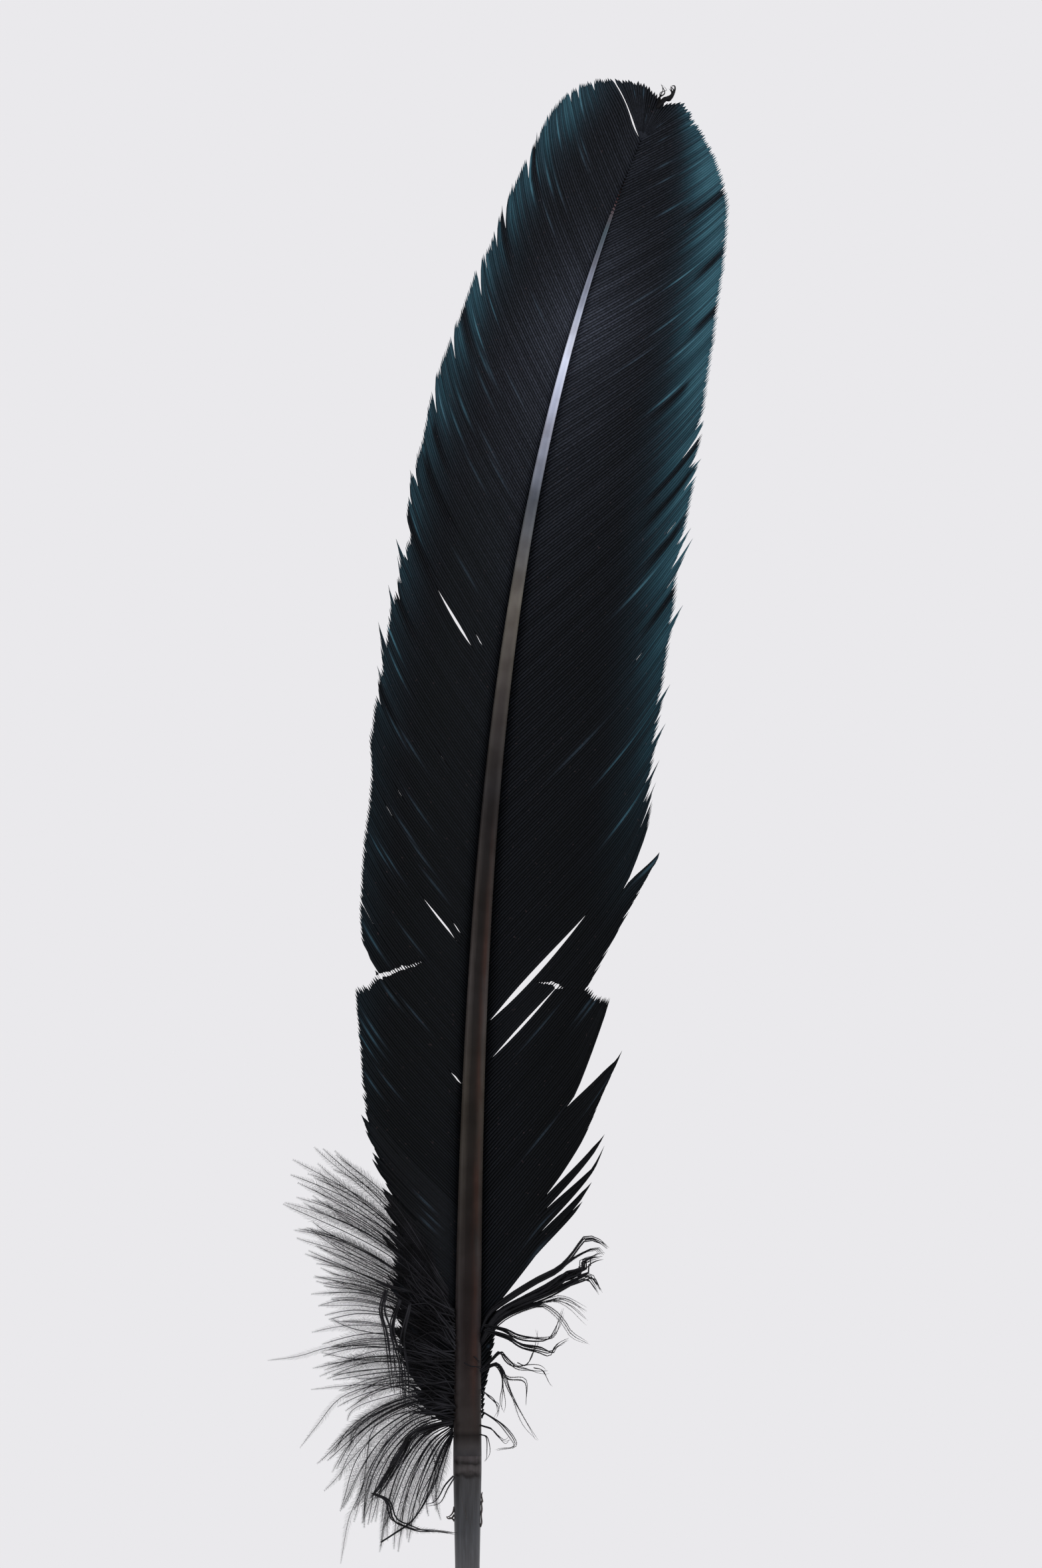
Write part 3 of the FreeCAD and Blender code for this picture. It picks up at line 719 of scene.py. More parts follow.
def barb_marks(side, height, rings, share, rise):
    """The green and the painted ridge sheen at every point of every barb."""
    ring, count = barb_rod["ring"], len(rings)
    tone = rng.uniform(0.8, 1.15, (count, 1))
    green = green_amount(side, height, rings, station(height, side, "length"))[:, ring] * tone
    # painted sheen: the front and back faces of each barb rod carry the ridge value, scaled by height
    ridge = np.broadcast_to(np.clip(-0.2 + 1.2 * np.abs(barb_rod["y"]), 0, 1), green.shape)
    near_shaft = np.exp(-((share[:, ring] / PAINTED_SHEEN_REACH) ** 2))
    sheen_beside_shaft = np.interp(rise, PAINTED_SHEEN_HEIGHTS, PAINTED_SHEEN_BESIDE_SHAFT)[:, ring]
    ridge = ridge * (np.interp(rise, PAINTED_SHEEN_EVERYWHERE_HEIGHTS, PAINTED_SHEEN_EVERYWHERE)[:, ring] + sheen_beside_shaft * near_shaft)
    ridge = ridge * rng.uniform(0.72, 1.28, (count, 1))
    # a few barbs get a painted glint of green and sheen along a short part of their length
    middle = rng.uniform(0.25, 0.95, (count, 1))
    painted_glint = (rng.random((count, 1)) < GLINT_BARB_SHARE[side]) * np.exp(
        -(((share[:, ring] - middle) / GLINT_REACH) ** 2))
    return {"green": green + GLINT_GREEN * painted_glint, "ridge": ridge + GLINT_SHEEN * painted_glint}


# %% [markdown]
# ## The barbs of a panel
#
# A barb's web is as wide as the gap to its neighbours and a little more. It thins to a point at
# its end, stays hairy and loose near the down, and closes over the shaft's end at the tip.

# %% A panel's barbs
# the edge's fine teeth, and the hairy barbs low on the left: where they begin and are in full
TOOTH_PITCH = 2.1
TOOTH_DEPTH = 0.45
HAIRY_TOP, HAIRY_RUN = 60.0, 15.0
# lengths in millimetres over which a barb thins to its tip, plain and in a finger
PLAIN_TAPER, FINGER_TAPER = 1.1, 4.0
# the webs: a share of the spacing, within limits; a barb's depth at its root and what it loses
WEB_SHARE = 0.68
WEB_LIMITS = (0.05, 0.44)
ROOT_WEB = 0.22
LOOSE_WEB = 0.8
BARB_DEPTH, DEPTH_LOSS = 0.13, 0.07


def finger_like(side, root):
    """True for barbs that end in a finger or a spike, which taper slowly."""
    tapering = np.zeros(len(root), bool)
    for where, low, high, *_ in FINGERS:
        tapering |= (where == side) & (root >= low) & (root < high)
    for height, _ in SPIKES[side]:
        tapering |= (root > height - 2.0) & (root <= height)
    return tapering


def make_vane(side, low, high):
    """Points and attributes of the barbs whose roots lie between two heights."""
    chosen = (roots[side] >= low) & (roots[side] < high)
    root, length = roots[side][chosen], lengths[side][chosen].copy()
    count = len(root)
    tooth = (root / TOOTH_PITCH + rng.normal(0, 0.12, count)) % 1
    hairy = np.clip((HAIRY_TOP - root) / HAIRY_RUN, 0, 1) * (side == LEFT)
    length += TOOTH_DEPTH * tooth - rng.exponential(0.08, count) + hairy * rng.normal(0, 1.5, count)
    length = np.maximum(length, 1.0)
    rings, web = barb_rings(side, root, length)
    share = rings / length[:, None]
    height = np.broadcast_to(root[:, None], rings.shape)
    loose = 0.07 + 0.22 * hairy[:, None] * (root[:, None] < DOWN_TOP)
    wander = rng.normal(0, 1, (count, 1)) * loose * share**2
    x, rise = field_point(side, shifted(side, height, rings) + wander, rings)
    # the spacing is the distance across the barbs between lines half a millimetre up and down
    near_x, near_rise = field_point(side, height + 0.5, rings)
    base_x, base_rise = field_point(side, height - 0.5, rings)
    along = np.stack([np.gradient(x, axis=1), np.gradient(rise, axis=1)])
    along /= np.maximum(np.hypot(*along), 1e-9)
    across = np.abs((near_x - base_x) * along[1] - (near_rise - base_rise) * along[0])
    spacing = across * np.gradient(root)[:, None]
    taper = np.where(finger_like(side, root), FINGER_TAPER, PLAIN_TAPER) + 2.5 * hairy
    end = np.clip((length - rings.T) / taper, 0, 1).T ** 0.8
    width = np.clip(spacing * WEB_SHARE, *WEB_LIMITS) * web * (0.04 + 0.96 * end)
    width = np.where(rings < 1.2, np.maximum(width, ROOT_WEB), width)
    width = width * (1 + LOOSE_WEB * (root < 52) * (side == LEFT))[:, None]
    depth = (BARB_DEPTH - DEPTH_LOSS * share) * (0.25 + 0.75 * end) * np.where(web < 1, 0.5, 1)
    lift = rng.normal(0, 0.035, (count, 1)) * share
    over_shaft = 0.45 * np.clip((height - 255) / 12, 0, 1) * np.clip(1 - rings / 6, 0, 1)
    y = vane_y(x, rise) + dip_depth(side, height, rings) + lift - over_shaft
    lines = np.stack([x, y, rise + UMBILICUS], axis=-1)
    points = lay_rods(barb_rod, lines, TO_WRITER, width, depth, tilt=0.35 * side)
    return points, barb_marks(side, height, rings, share, rise)


# %% The sixteen panels
PANELS = {
    LEFT: [VANE_START[LEFT], 46, 72, 98, 128, 158, 192, 232, 292],
    RIGHT: [VANE_START[RIGHT], 45, 62, 88, 118, 152, 190, 234, 292],
}
for side, word in ((LEFT, "left"), (RIGHT, "right")):
    for number, (low, high) in enumerate(zip(PANELS[side][:-1], PANELS[side][1:]), start=1):
        points, marks = make_vane(side, low, high)
        mesh = copies_mesh(f"{word}_vane_barbs_{number}", barb_rod, points, marks)
        join_meshes(f"{word}_vane_barbs_{number}", [mesh], black_barb, "quill",
                    f"{word}_vane_{number}")


# %% [markdown]
# ## The shaft
#
# The shaft is horn round a core of pith, with a groove down the side that faces the writer. It
# starts as a flat grid, which is rolled round the shaft's line. Then its seam is welded and its
# ends are closed. A tube extruded along a curve could not hold the groove's start.

# %% The shaft's body
SHAFT_SIDES = 40
SHAFT_RINGS = 170
GROOVE_START = 18.0
GROOVE_SHARE = 0.20
# angles: half the groove's width, half the dark line's, and the warm strip's place and half width
GROOVE_ANGLE, DARK_ANGLE = 0.62, 0.55
WARM_PLACE, WARM_ANGLE = 0.55, 0.3
WARM_HEIGHTS, WARM = [4, 14, 110, 140], [0, 0.65, 0.65, 0]
SQUARENESS = 0.55
WELD = 0.000002


def point_attribute(body, name, values):
    body.data.attributes.new(name, "FLOAT", "POINT").data.foreach_set(
        "value", values.astype(np.float32))


def shaft_body():
    bpy.ops.mesh.primitive_grid_add(x_subdivisions=SHAFT_SIDES, y_subdivisions=SHAFT_RINGS, size=2)
    body = bpy.context.object
    body.name = "grooved_shaft"
    flat = np.array([v.co for v in body.data.vertices])
    turn = (flat[:, 0] + 1) * math.pi
    height = (flat[:, 1] + 1) / 2 * SHAFT_LENGTH
    groove = np.exp(-(((turn - math.pi) / GROOVE_ANGLE) ** 2)) * GROOVE_SHARE
    groove *= np.clip((height - GROOVE_START) / 25, 0, 1)
    round_x, round_y = np.sin(turn), np.cos(turn)
    square = (np.abs(round_x) ** 3 + np.abs(round_y) ** 3) ** (-1 / 3)
    blend = SQUARENESS * np.clip(height / 40, 0, 1)
    radius = 1 + (square - 1) * blend
    half_x, half_y = shaft_width(height) / 2, shaft_depth(height) / 2
    tilt = shaft_tilt(height)
    side_way = -round_x * radius * half_x
    front_way = round_y * radius * half_y + groove * half_y * 2
    x = shaft_x(height) + side_way * np.cos(tilt)
    z = UMBILICUS + height - side_way * np.sin(tilt)
    places = np.stack([x, shaft_y(height) + front_way, z], axis=1) * MM
    body.data.vertices.foreach_set("co", places.ravel())
    dark = np.exp(-(((turn - math.pi) / DARK_ANGLE) ** 2)) * np.clip((height - 8) / 20, 0, 1)
    warm = np.exp(-(((turn - math.pi - WARM_PLACE) / WARM_ANGLE) ** 2))
    point_attribute(body, "groove", dark)
    point_attribute(body, "warm", warm * np.interp(height, WARM_HEIGHTS, WARM))
    bpy.ops.object.mode_set(mode="EDIT")
    bpy.ops.mesh.select_all(action="SELECT")
    bpy.ops.mesh.remove_doubles(threshold=WELD)
    bpy.ops.mesh.select_all(action="DESELECT")
    bpy.ops.mesh.select_mode(type="EDGE")
    bpy.ops.mesh.select_non_manifold()
    bpy.ops.mesh.edge_face_add()
    bpy.ops.mesh.select_all(action="SELECT")
    bpy.ops.mesh.normals_make_consistent(inside=False)
    bpy.ops.object.mode_set(mode="OBJECT")
    body.data.shade_smooth()
    return body


# %% Material: the shaft's horn
# colours up the shaft, from the barrel's top to the tip: on the rounded sides and in the groove; the pale
# silvery-blue stops near three quarters of the way up are a painted reflection
SIDE_HORN_AND_PAINTED_GLEAM = [
    (0.0, "353436"), (0.010, "302d2d"), (0.0145, "0f0c0c"), (0.019, "2b2726"), (0.10, "2c2829"),
    (0.27, "38342f"), (0.345, "3d3938"), (0.42, "312c2a"), (0.50, "2c2a2a"), (0.57, "403d3a"),
    (0.645, "5a5751"), (0.72, "51565d"), (0.795, "a9adbe"), (0.835, "d0d7e8"), (0.87, "98a1b3"),
    (0.895, "6d707c"), (0.92, "47565e"), (0.943, "5d4748"), (0.955, "0e0c0e"),
]
GROOVE_HORN_AND_PAINTED_GLEAM = [
    (0.0, "2c2b2d"), (0.010, "242121"), (0.0145, "0a0808"), (0.019, "1e1412"), (0.10, "150f0e"),
    (0.195, "0b0706"), (0.27, "0a0707"), (0.42, "0a0909"), (0.50, "1a1819"), (0.57, "343030"),
    (0.645, "56524e"), (0.72, "484d56"), (0.795, "979db0"), (0.835, "c4ccdf"), (0.87, "838a9d"),
    (0.895, "5c5f6b"), (0.92, "3a474e"), (0.943, "4a3537"), (0.955, "0c0a0c"),
]


def shaft_finish():
    # horn: brown-grey and matt low down; near the tip a silvery band of painted reflection is part of the
    # colour
    material, tree, shader = new_material("feather_shaft_horn", roughness=0.36, specular=0.045)
    place = object_place(tree)
    height = add_node(tree, "ShaderNodeSeparateXYZ", inputs={"Vector": place}).outputs["Z"]
    level = level_of(tree, height, 0.035, 0.315)
    streaks = drawn_out_noise(tree, place, 2600.0, 90.0, 5.0, 0.65)
    pick = calculate(tree, "MULTIPLY_ADD", streaks, 0.5, attribute(tree, "groove"), clamp=True)
    # both ramps carry the painted reflection, a silvery-blue band near the tip
    horn = mix(tree, calculate(tree, "SUBTRACT", pick, 0.22, clamp=True),
               ramp(tree, level, SIDE_HORN_AND_PAINTED_GLEAM), ramp(tree, level, GROOVE_HORN_AND_PAINTED_GLEAM))
    # the horn is thinner and redder along the right of the groove, in long patches
    patches = ramp(tree, drawn_out_noise(tree, place, 500.0, 60.0, 3.0),
                   [(0.38, "303030"), (0.62, "ffffff")])
    reddish = calculate(tree, "MULTIPLY", attribute(tree, "warm"), patches)
    dirt = ramp(tree, noise(tree, place, 160.0, 5.0), [(0.35, "c8c2be"), (0.62, "ffffff")])
    dirty = mix(tree, 0.7, mix(tree, reddish, horn, "35211b"), dirt, "MULTIPLY")
    dress(tree, shader, dirty, streaks, 0.5, 0.00006)
    return material


# %% The finished shaft
shaft = shaft_body()
shaft.data.materials.append(shaft_finish())
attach(shaft, "quill")
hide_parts("rachis")
bpy.ops.object.select_all(action="DESELECT")
print("shaft faces:", len(shaft.data.polygons))


# %% [markdown]
# ## The barrel, its skin and what dries inside it
#
# The barrel is a clear, greyish tube of horn. Its wall and cut nib are plain turned and cut shapes
# that the frame already holds, so those parts stay and only get their finish. A dark ring and two
# fine cracks mark where the skin of the bird once closed round it.

# %% Materials: barrel horn, pith, membrane and skin
def barrel_finish():
    # scraped horn: smoky grey, faintly glossy, with rings and scratches along its length
    material, tree, shader = new_material("scraped_barrel_horn", roughness=0.34, specular=0.12)
    place = object_place(tree)
    height = add_node(tree, "ShaderNodeSeparateXYZ", inputs={"Vector": place}).outputs["Z"]
    streaks = drawn_out_noise(tree, place, 1500.0, 120.0, 6.0, 0.6)
    wavy = calculate(tree, "MULTIPLY_ADD", noise(tree, place, 420.0, 4.0), 0.0024, height)
    level = level_of(tree, wavy, -0.04, 0.04)
    rings = ramp(tree, level, [(0.0, "857d73"), (0.30, "706b66"), (0.62, "4f5053"), (0.76, "3d3f43"),
                               (0.893, "343436"), (0.903, "120f0f"), (0.913, "3d3a3b"),
                               (0.925, "3a3738"), (0.934, "0e0b0b"), (0.945, "393537")])
    tint = ramp(tree, streaks, [(0.3, "a9a29c"), (0.7, "ffffff")])
    dress(tree, shader, mix(tree, 0.8, rings, tint, "MULTIPLY"), streaks, 0.35, 0.00006)
    return material


def dry_finish(name, dark, light, roughness, scale):
    # dried tissue: matt, uneven, and grainy at a tenth of a millimetre
    material, tree, shader = new_material(name, roughness=roughness, specular=0.25)
    grain = noise(tree, object_place(tree), scale, 6.0, 0.65)
    dress(tree, shader, ramp(tree, grain, [(0.3, dark), (0.7, light)]), grain, 0.4, 0.00008)
    return material


FRAME_FINISHES = {
    "barrel": barrel_finish(),
    "rachis_pith": dry_finish("dry_pith_foam", "b8aa92", "e4dcc8", 0.9, 2400.0),
    "pulp_membrane": dry_finish("dried_pulp_membrane", "6f6252", "b7a88e", 0.6, 1800.0),
}
FRAME_FINISHES["left_tine"] = FRAME_FINISHES["right_tine"] = FRAME_FINISHES["barrel"]
for node, material in FRAME_FINISHES.items():
    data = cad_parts[node].data
    data.materials.clear()
    data.materials.append(material)


# %% [markdown]
# ## Threads and down
#
# Low on the shaft the barbs have no hooks. On the left they are plumes: a hair-thin stem with
# soft barbules on both sides, which look like grey smoke. On the right they have been bent and
# curled into loose strands. Particle hair would leave no mesh to keep, so both are laid as rods.

# %% Smooth lines, threads and plumes
def smooth_line(points, count):
    """A smooth line through a few chosen points, evenly sampled."""
    points = np.asarray(points, float)
    padded = np.vstack([2 * points[0] - points[1], points, 2 * points[-1] - points[-2]])
    fine = []
    for a, b, c, d in zip(padded[:-3], padded[1:-2], padded[2:-1], padded[3:]):
        t = np.linspace(0, 1, 12, endpoint=False)[:, None]
        fine.append(0.5 * (2 * b + (c - a) * t + (2 * a - 5 * b + 4 * c - d) * t**2
                           + (3 * b - a - 3 * c + d) * t**3))
    fine = np.vstack(fine + [points[-1:]])
    steps = np.concatenate([[0], np.cumsum(np.linalg.norm(np.diff(fine, axis=0), axis=1))])
    wanted = np.linspace(0, steps[-1], count)
    return np.stack([np.interp(wanted, steps, fine[:, k]) for k in range(fine.shape[1])], axis=1)


def in_space(line, y_root, y_tip):
    """Give a flat line its depth, from its root to its tip."""
    share = np.linspace(0, 1, len(line))
    return np.stack([line[:, 0], y_root + (y_tip - y_root) * share**1.3, line[:, 1]], axis=1)


def thread_mesh(name, lines, thickness, taper=0.25):
    """Thin round threads: thickness in mm at the root of each line."""
    lines = np.array(lines)
    share = np.linspace(0, 1, lines.shape[1])
    thickness = np.broadcast_to(thickness, (len(lines),))
    half = thickness[:, None] / 2 * (taper + (1 - taper) * (1 - share[None, :] ** 1.5))
    half[:, -1] *= 0.25
    facing = np.array([0.15, -1.0, 0.1])
    points = lay_rods(thread_rod, lines, facing, half, half)
    return copies_mesh(name, thread_rod, points)


def fluff_mesh(name, stems, spacing, reach, thickness, start=0.2, droop=0.25):
    """Barbules on both sides of each stem; reach is their length in mm."""
    lines = []
    for stem in stems:
        steps = np.linalg.norm(np.diff(stem, axis=0), axis=1)
        travelled = np.concatenate([[0], np.cumsum(steps)])
        places = np.arange(start * travelled[-1], travelled[-1], spacing)
        places = places + rng.uniform(-0.4, 0.4, len(places)) * spacing
        base, ahead, behind = [
            np.stack([np.interp(places + step, travelled, stem[:, k]) for k in range(3)], axis=1)
            for step in (0, 0.3, -0.3)]
        along = unit(ahead - behind)
        side = unit(np.cross(along, TO_WRITER))
        grown = np.clip((travelled[-1] - places) / 10 + 0.16, 0, 1) * np.clip(
            (places - start * travelled[-1]) / 3 + 0.3, 0, 1)
        for sign in (-1, 1):
            size = reach * grown * rng.uniform(0.75, 1.1, len(places))
            spread = rng.uniform(0.8, 1.05, len(places))[:, None]
            lean = rng.normal(0, 0.25, len(places))[:, None]
            out = unit(side * sign * np.sin(spread) + along * np.cos(spread) - TO_WRITER * lean)
            bend = unit(out + along * rng.uniform(0.1, 0.9, len(places))[:, None]
                        + rng.normal(0, droop, (len(places), 3)))
            middle = base + out * size[:, None] * 0.5
            lines.append(np.stack([base, middle, middle + bend * size[:, None] * 0.5], axis=1))
    lines = np.concatenate(lines)
    half = np.broadcast_to(thickness / 2 * np.array([1.0, 0.75, 0.15]), lines.shape[:2])
    points = lay_rods(fluff_rod, lines, np.array([0.1, -1.0, 0.2]), half, half)
    return copies_mesh(name, fluff_rod, points)


HOOK, WAVE = 1.3, 0.45


def between(guides, place, count, scatter, y_range):
    """A line between two neighbouring guides, scattered more towards its tip."""
    place = np.clip(place, 0, len(guides) - 1.001)
    first = int(place)
    share = place - first
    a, b = smooth_line(guides[first], count), smooth_line(guides[first + 1], count)
    line = a * (1 - share) + b * share
    grow = np.linspace(0, 1, count)[:, None] ** 1.5
    wave = np.sin(np.linspace(0, rng.uniform(3, 8), count) + rng.uniform(0, 6))[:, None]
    hook = np.linspace(0, 1, count)[:, None] ** 5 * rng.normal(0, HOOK, 2)
    line = line + grow * rng.normal(0, scatter, 2) + grow * wave * rng.normal(0, WAVE, 2) + hook
    return in_space(line, rng.uniform(-1.0, 0.8), rng.uniform(*y_range))


# %% Materials: down and curled barbs
def fibre_finish(name, dark, light, roughness, specular):
    # fine keratin fibre: nearly black, a little paler where it is thin, with a dry soft gloss
    material, tree, shader = new_material(name, roughness=roughness, specular=specular)
    tone = noise(tree, object_place(tree), 260.0, 4.0)
    dress(tree, shader, ramp(tree, tone, [(0.35, dark), (0.7, light)]))
    return material


down_fibre = fibre_finish("grey_black_down", "121214", "26262a", 0.7, 0.07)
curled_fibre = fibre_finish("curled_black_barb", "0a0a0c", "17171b", 0.5, 0.07)

# %% [markdown]
# ## The down on the left
#
# The plumes fan out from the shaft's foot: the highest rise past the vane's edge, the lowest hang
# like a curtain. Chosen guide lines hold that fan, and every plume lies between two of them.

# %% Left down: guides from root to tip, in millimetres (x, height in the frame)
DOWN_GUIDES = {
    "down_left_crest": [
        [(-4, 70), (-12, 83), (-18, 91), (-26.4, 98.5)],
        [(-4, 69), (-13, 81), (-22, 89.5), (-34, 96.7)],
        [(-4, 68), (-13.5, 79.5), (-22, 86.5), (-31.5, 92.8)],
        [(-4, 67), (-14, 77.5), (-23, 84), (-34.3, 88.8)],
        [(-4, 66), (-14, 75.8), (-24, 82), (-36.4, 87.6)],
    ],
    "down_left_upper": [
        [(-4, 64.5), (-14, 73.5), (-24, 79.5), (-35.8, 83.9)],
        [(-4, 63), (-14, 71.5), (-23, 76.5), (-32.5, 80.3)],
        [(-4, 61.5), (-14, 69.5), (-23, 73.8), (-31, 76.5)],
        [(-3, 60), (-14, 67.5), (-23, 71), (-32, 72.4)],
        [(-3, 58.5), (-13, 65.5), (-22, 68.5), (-31.6, 69)],
        [(-3, 57), (-13, 63.5), (-22, 65.5), (-30, 65.2)],
    ],
    "down_left_middle": [
        [(-3, 55.5), (-13, 61), (-21, 62.5), (-29.5, 61.8)],
        [(-3, 54), (-12, 58.8), (-20, 59.8), (-28.8, 59)],
        [(-3, 52.5), (-12, 56.3), (-20, 57), (-29, 56)],
        [(-3, 51), (-12, 54), (-20, 54), (-30.4, 52.8)],
        [(-3, 50), (-12, 52), (-19, 51.5), (-26, 50)],
        [(-3, 49), (-12, 50), (-19, 49), (-26, 46.5)],
    ],
    "down_left_lower": [
        [(-3, 48), (-11, 48.5), (-20, 46), (-25.2, 43), (-28, 39)],
        [(-3, 46.8), (-11, 46.8), (-19, 43.5), (-25, 38.5), (-28.5, 33.5)],
        [(-3, 45.5), (-11, 45), (-18, 41), (-23.5, 34.5), (-27, 26.5)],
        [(-3, 44.2), (-10.5, 43), (-16.5, 38), (-21, 30), (-23.1, 21)],
        [(-3, 43), (-9.5, 41), (-15, 35.5), (-18.5, 28), (-20.2, 21)],
        [(-3, 42), (-8.5, 39.5), (-13, 33.5), (-16, 25.5), (-17.9, 17)],
        [(-3, 41), (-7, 37.5), (-10.5, 31.5), (-13, 24.5), (-14.3, 17.3)],
        [(-3, 40), (-5.3, 36.3), (-7.5, 31), (-9, 26), (-9.6, 21.6)],
        [(-3, 39), (-4, 35.5), (-5, 31.5), (-5.8, 28), (-6.4, 25)],
    ],
}
DOWN_COUNTS = {"down_left_crest": 22, "down_left_upper": 32, "down_left_middle": 28,
               "down_left_lower": 46}
STEM_POINTS = thread_rod["rings"]
# how far a plume strays from its place among the guides and at its tip; depths of the tips
PLACE_SCATTER, TIP_SCATTER, TIP_DEPTHS = 0.09, 0.9, (-6.5, 5.0)
for node, guides in DOWN_GUIDES.items():
    count = DOWN_COUNTS[node]
    places = np.linspace(0, len(guides) - 1.01, count) + rng.normal(0, PLACE_SCATTER, count)
    stems = [between(guides, p, STEM_POINTS, TIP_SCATTER, TIP_DEPTHS) for p in places]
    fluff = fluff_mesh(node + "_fluff", stems, spacing=0.2, reach=2.0, thickness=0.046, start=0.12)
    threads = thread_mesh(node + "_stems", stems, rng.uniform(0.18, 0.3, count), taper=0.4)
    join_meshes(node + "_plumes", [threads, fluff], down_fibre, "quill", node)

# %% Left down: the single plumes, the dark bundle and the long hanging one
SINGLE_PLUMES = [
    [(-4, 53), (-15, 57.5), (-27.6, 58.1), (-35.4, 56.1), (-41.9, 55.2)],
    [(-4, 50), (-16.4, 50.3), (-26.2, 47.6), (-31.6, 41.5), (-35.2, 36.8)],
    [(-3, 42.5), (-12, 44.5), (-19.5, 41.2), (-20.8, 37.1), (-22.1, 28.3), (-24.9, 22.1), (-26.7, 12.3)],
    [(-3, 46), (-12, 49), (-22, 50), (-33, 49)],
]
DARK_STRANDS = [
    [(-3.2, 42.1), (-6.2, 41.5), (-11.3, 39.8), (-13.7, 35.7), (-16, 32), (-18.4, 28.3), (-20.1, 26.2)],
    [(-20.1, 27.2), (-17.1, 25.6), (-16, 21.8), (-13.3, 20.4), (-10.6, 19.5), (-7.2, 19.3), (-2.8, 18.8)],
    [(-18.1, 16.9), (-15.4, 18.6), (-11.3, 21.5), (-7.9, 26.9), (-6.2, 32.3), (-7.9, 38.5)],
    [(-2.8, 30.7), (-4.5, 28.3), (-6.2, 25.2), (-8.6, 24.5)],
    [(-17.1, 70), (-18.1, 65.5), (-16.9, 60.1), (-15.4, 48.3)],
    [(-14, 68), (-15.5, 62), (-13.5, 54), (-13, 46)],
    [(-19, 72), (-15.5, 70.6), (-11, 69.5)],
    [(-12, 67), (-13.5, 60), (-12.6, 53), (-12.4, 45)],
]
STRAND_COPIES = [14, 3, 2, 2, 5, 5, 5, 4]
STRAND_SPREAD, STRAND_Y, STRAND_THICKNESS = 0.45, -3.0, 0.32


def bundle(points, copies, spread, y_mid, thickness, curl=0.25):
    """Several threads along one line that part a little towards its tip."""
    line = smooth_line(points, STEM_POINTS)
    share = np.linspace(0, 1, STEM_POINTS)[:, None]
    lines, sizes = [], []
    for _ in range(copies):
        offset = rng.normal(0, spread, 2)
        wave = np.sin(share * rng.uniform(4, 11) + rng.uniform(0, 6)) * rng.normal(0, curl, 2) * share
        flat = line + offset * (0.35 + 0.65 * np.sin(share * 2.6)) + wave
        lines.append(in_space(flat, rng.normal(y_mid, 0.3), rng.normal(y_mid, 0.9)))
        sizes.append(thickness * rng.uniform(0.7, 1.3))
    return lines, sizes


# short black barbs round the shaft's foot, which fill the down's heart: count, x and heights in mm
FOOT_BARBS = 130
FOOT_X = -2.6
FOOT_HEIGHTS = (42.5, 66)
loose, sizes = [], []
for _ in range(FOOT_BARBS):
    level = rng.uniform(*FOOT_HEIGHTS)
    reach = rng.uniform(9, 17) * (0.75 + 0.25 * (level - 42) / 24)
    angle = math.radians(rng.normal(np.interp(level, [42, 50, 66], [84, 68, 52]), 11))
    start = np.array([FOOT_X, level])
    end = start + reach * np.array([-math.sin(angle), math.cos(angle)])
    middle = (start + end) / 2 + rng.normal(0, 1.0, 2)
    more, thick = bundle([start, middle, end], 1, 0.3, rng.uniform(-2.5, 1.0), 0.3, 0.6)
    loose += more
    sizes += thick
plumes = [in_space(smooth_line(p, STEM_POINTS), -1.0, rng.uniform(-4, 0)) for p in SINGLE_PLUMES]
for points, copies in zip(DARK_STRANDS, STRAND_COPIES):
    more, thick = bundle(points, copies, STRAND_SPREAD, STRAND_Y, STRAND_THICKNESS)
    loose += more
    sizes += thick
parts = [
    thread_mesh("hanging_stems", plumes, 0.22),
    fluff_mesh("hanging_fluff", plumes, 0.2, 1.3, 0.042),
    thread_mesh("dark_strands", loose, np.array(sizes)),
    fluff_mesh("dark_fluff", loose[FOOT_BARBS // 2:FOOT_BARBS + 24], 0.4, 1.0, 0.06, start=0.1),
]
join_meshes("down_left_hanging_plumes", parts, down_fibre, "quill", "down_left_hanging")

# %% [markdown]
# ## The curled strands on the right
#
# These barbs still have their webs, so they are flatter and blacker than down, and their ends
# have curled. Each bundle follows one drawn line, and its threads part near the end.

# %% Right curls: points in millimetres (x, height in the frame), copies, spread and thickness
UPPER_CURLS = [
    ([(2.6, 61), (4.5, 65), (8.3, 68), (14.3, 71.8), (19, 74.3), (22, 77.4), (24.2, 80.4), (25.5, 80.9),
      (27.6, 80.4), (29.5, 79)], 6, 0.3, 0.6),
    ([(2.6, 61), (4.5, 65), (8.3, 68), (14.3, 71.8), (19, 74.3), (22.6, 77.0), (26.7, 79), (28.4, 77.6)],
     5, 0.28, 0.55),
    ([(2.6, 59), (6.2, 64.5), (10.5, 67.1), (16.9, 70.1), (21.1, 73.1), (24.2, 73.9), (24.6, 76.2),
      (27.6, 77)], 12, 0.55, 0.85),
    ([(2.6, 59), (6.2, 63.8), (10.5, 66.6), (17.5, 69.6), (24.6, 72.9), (25.9, 72.9), (28, 69.9)],
     8, 0.5, 0.75),
    ([(2.6, 58.6), (8, 64.5), (16.5, 67.6), (20.3, 68), (25.1, 65.7)], 4, 0.35, 0.32),
    ([(2.6, 58.6), (8, 64.2), (16.9, 67.6), (21.1, 67.1), (25.1, 63.4)], 3, 0.3, 0.26),
    ([(2.6, 58.3), (8, 63.8), (15.1, 66.5), (17.8, 65.8), (20.3, 63.3), (22, 60.7), (25.5, 58.8)],
     4, 0.3, 0.3),
]
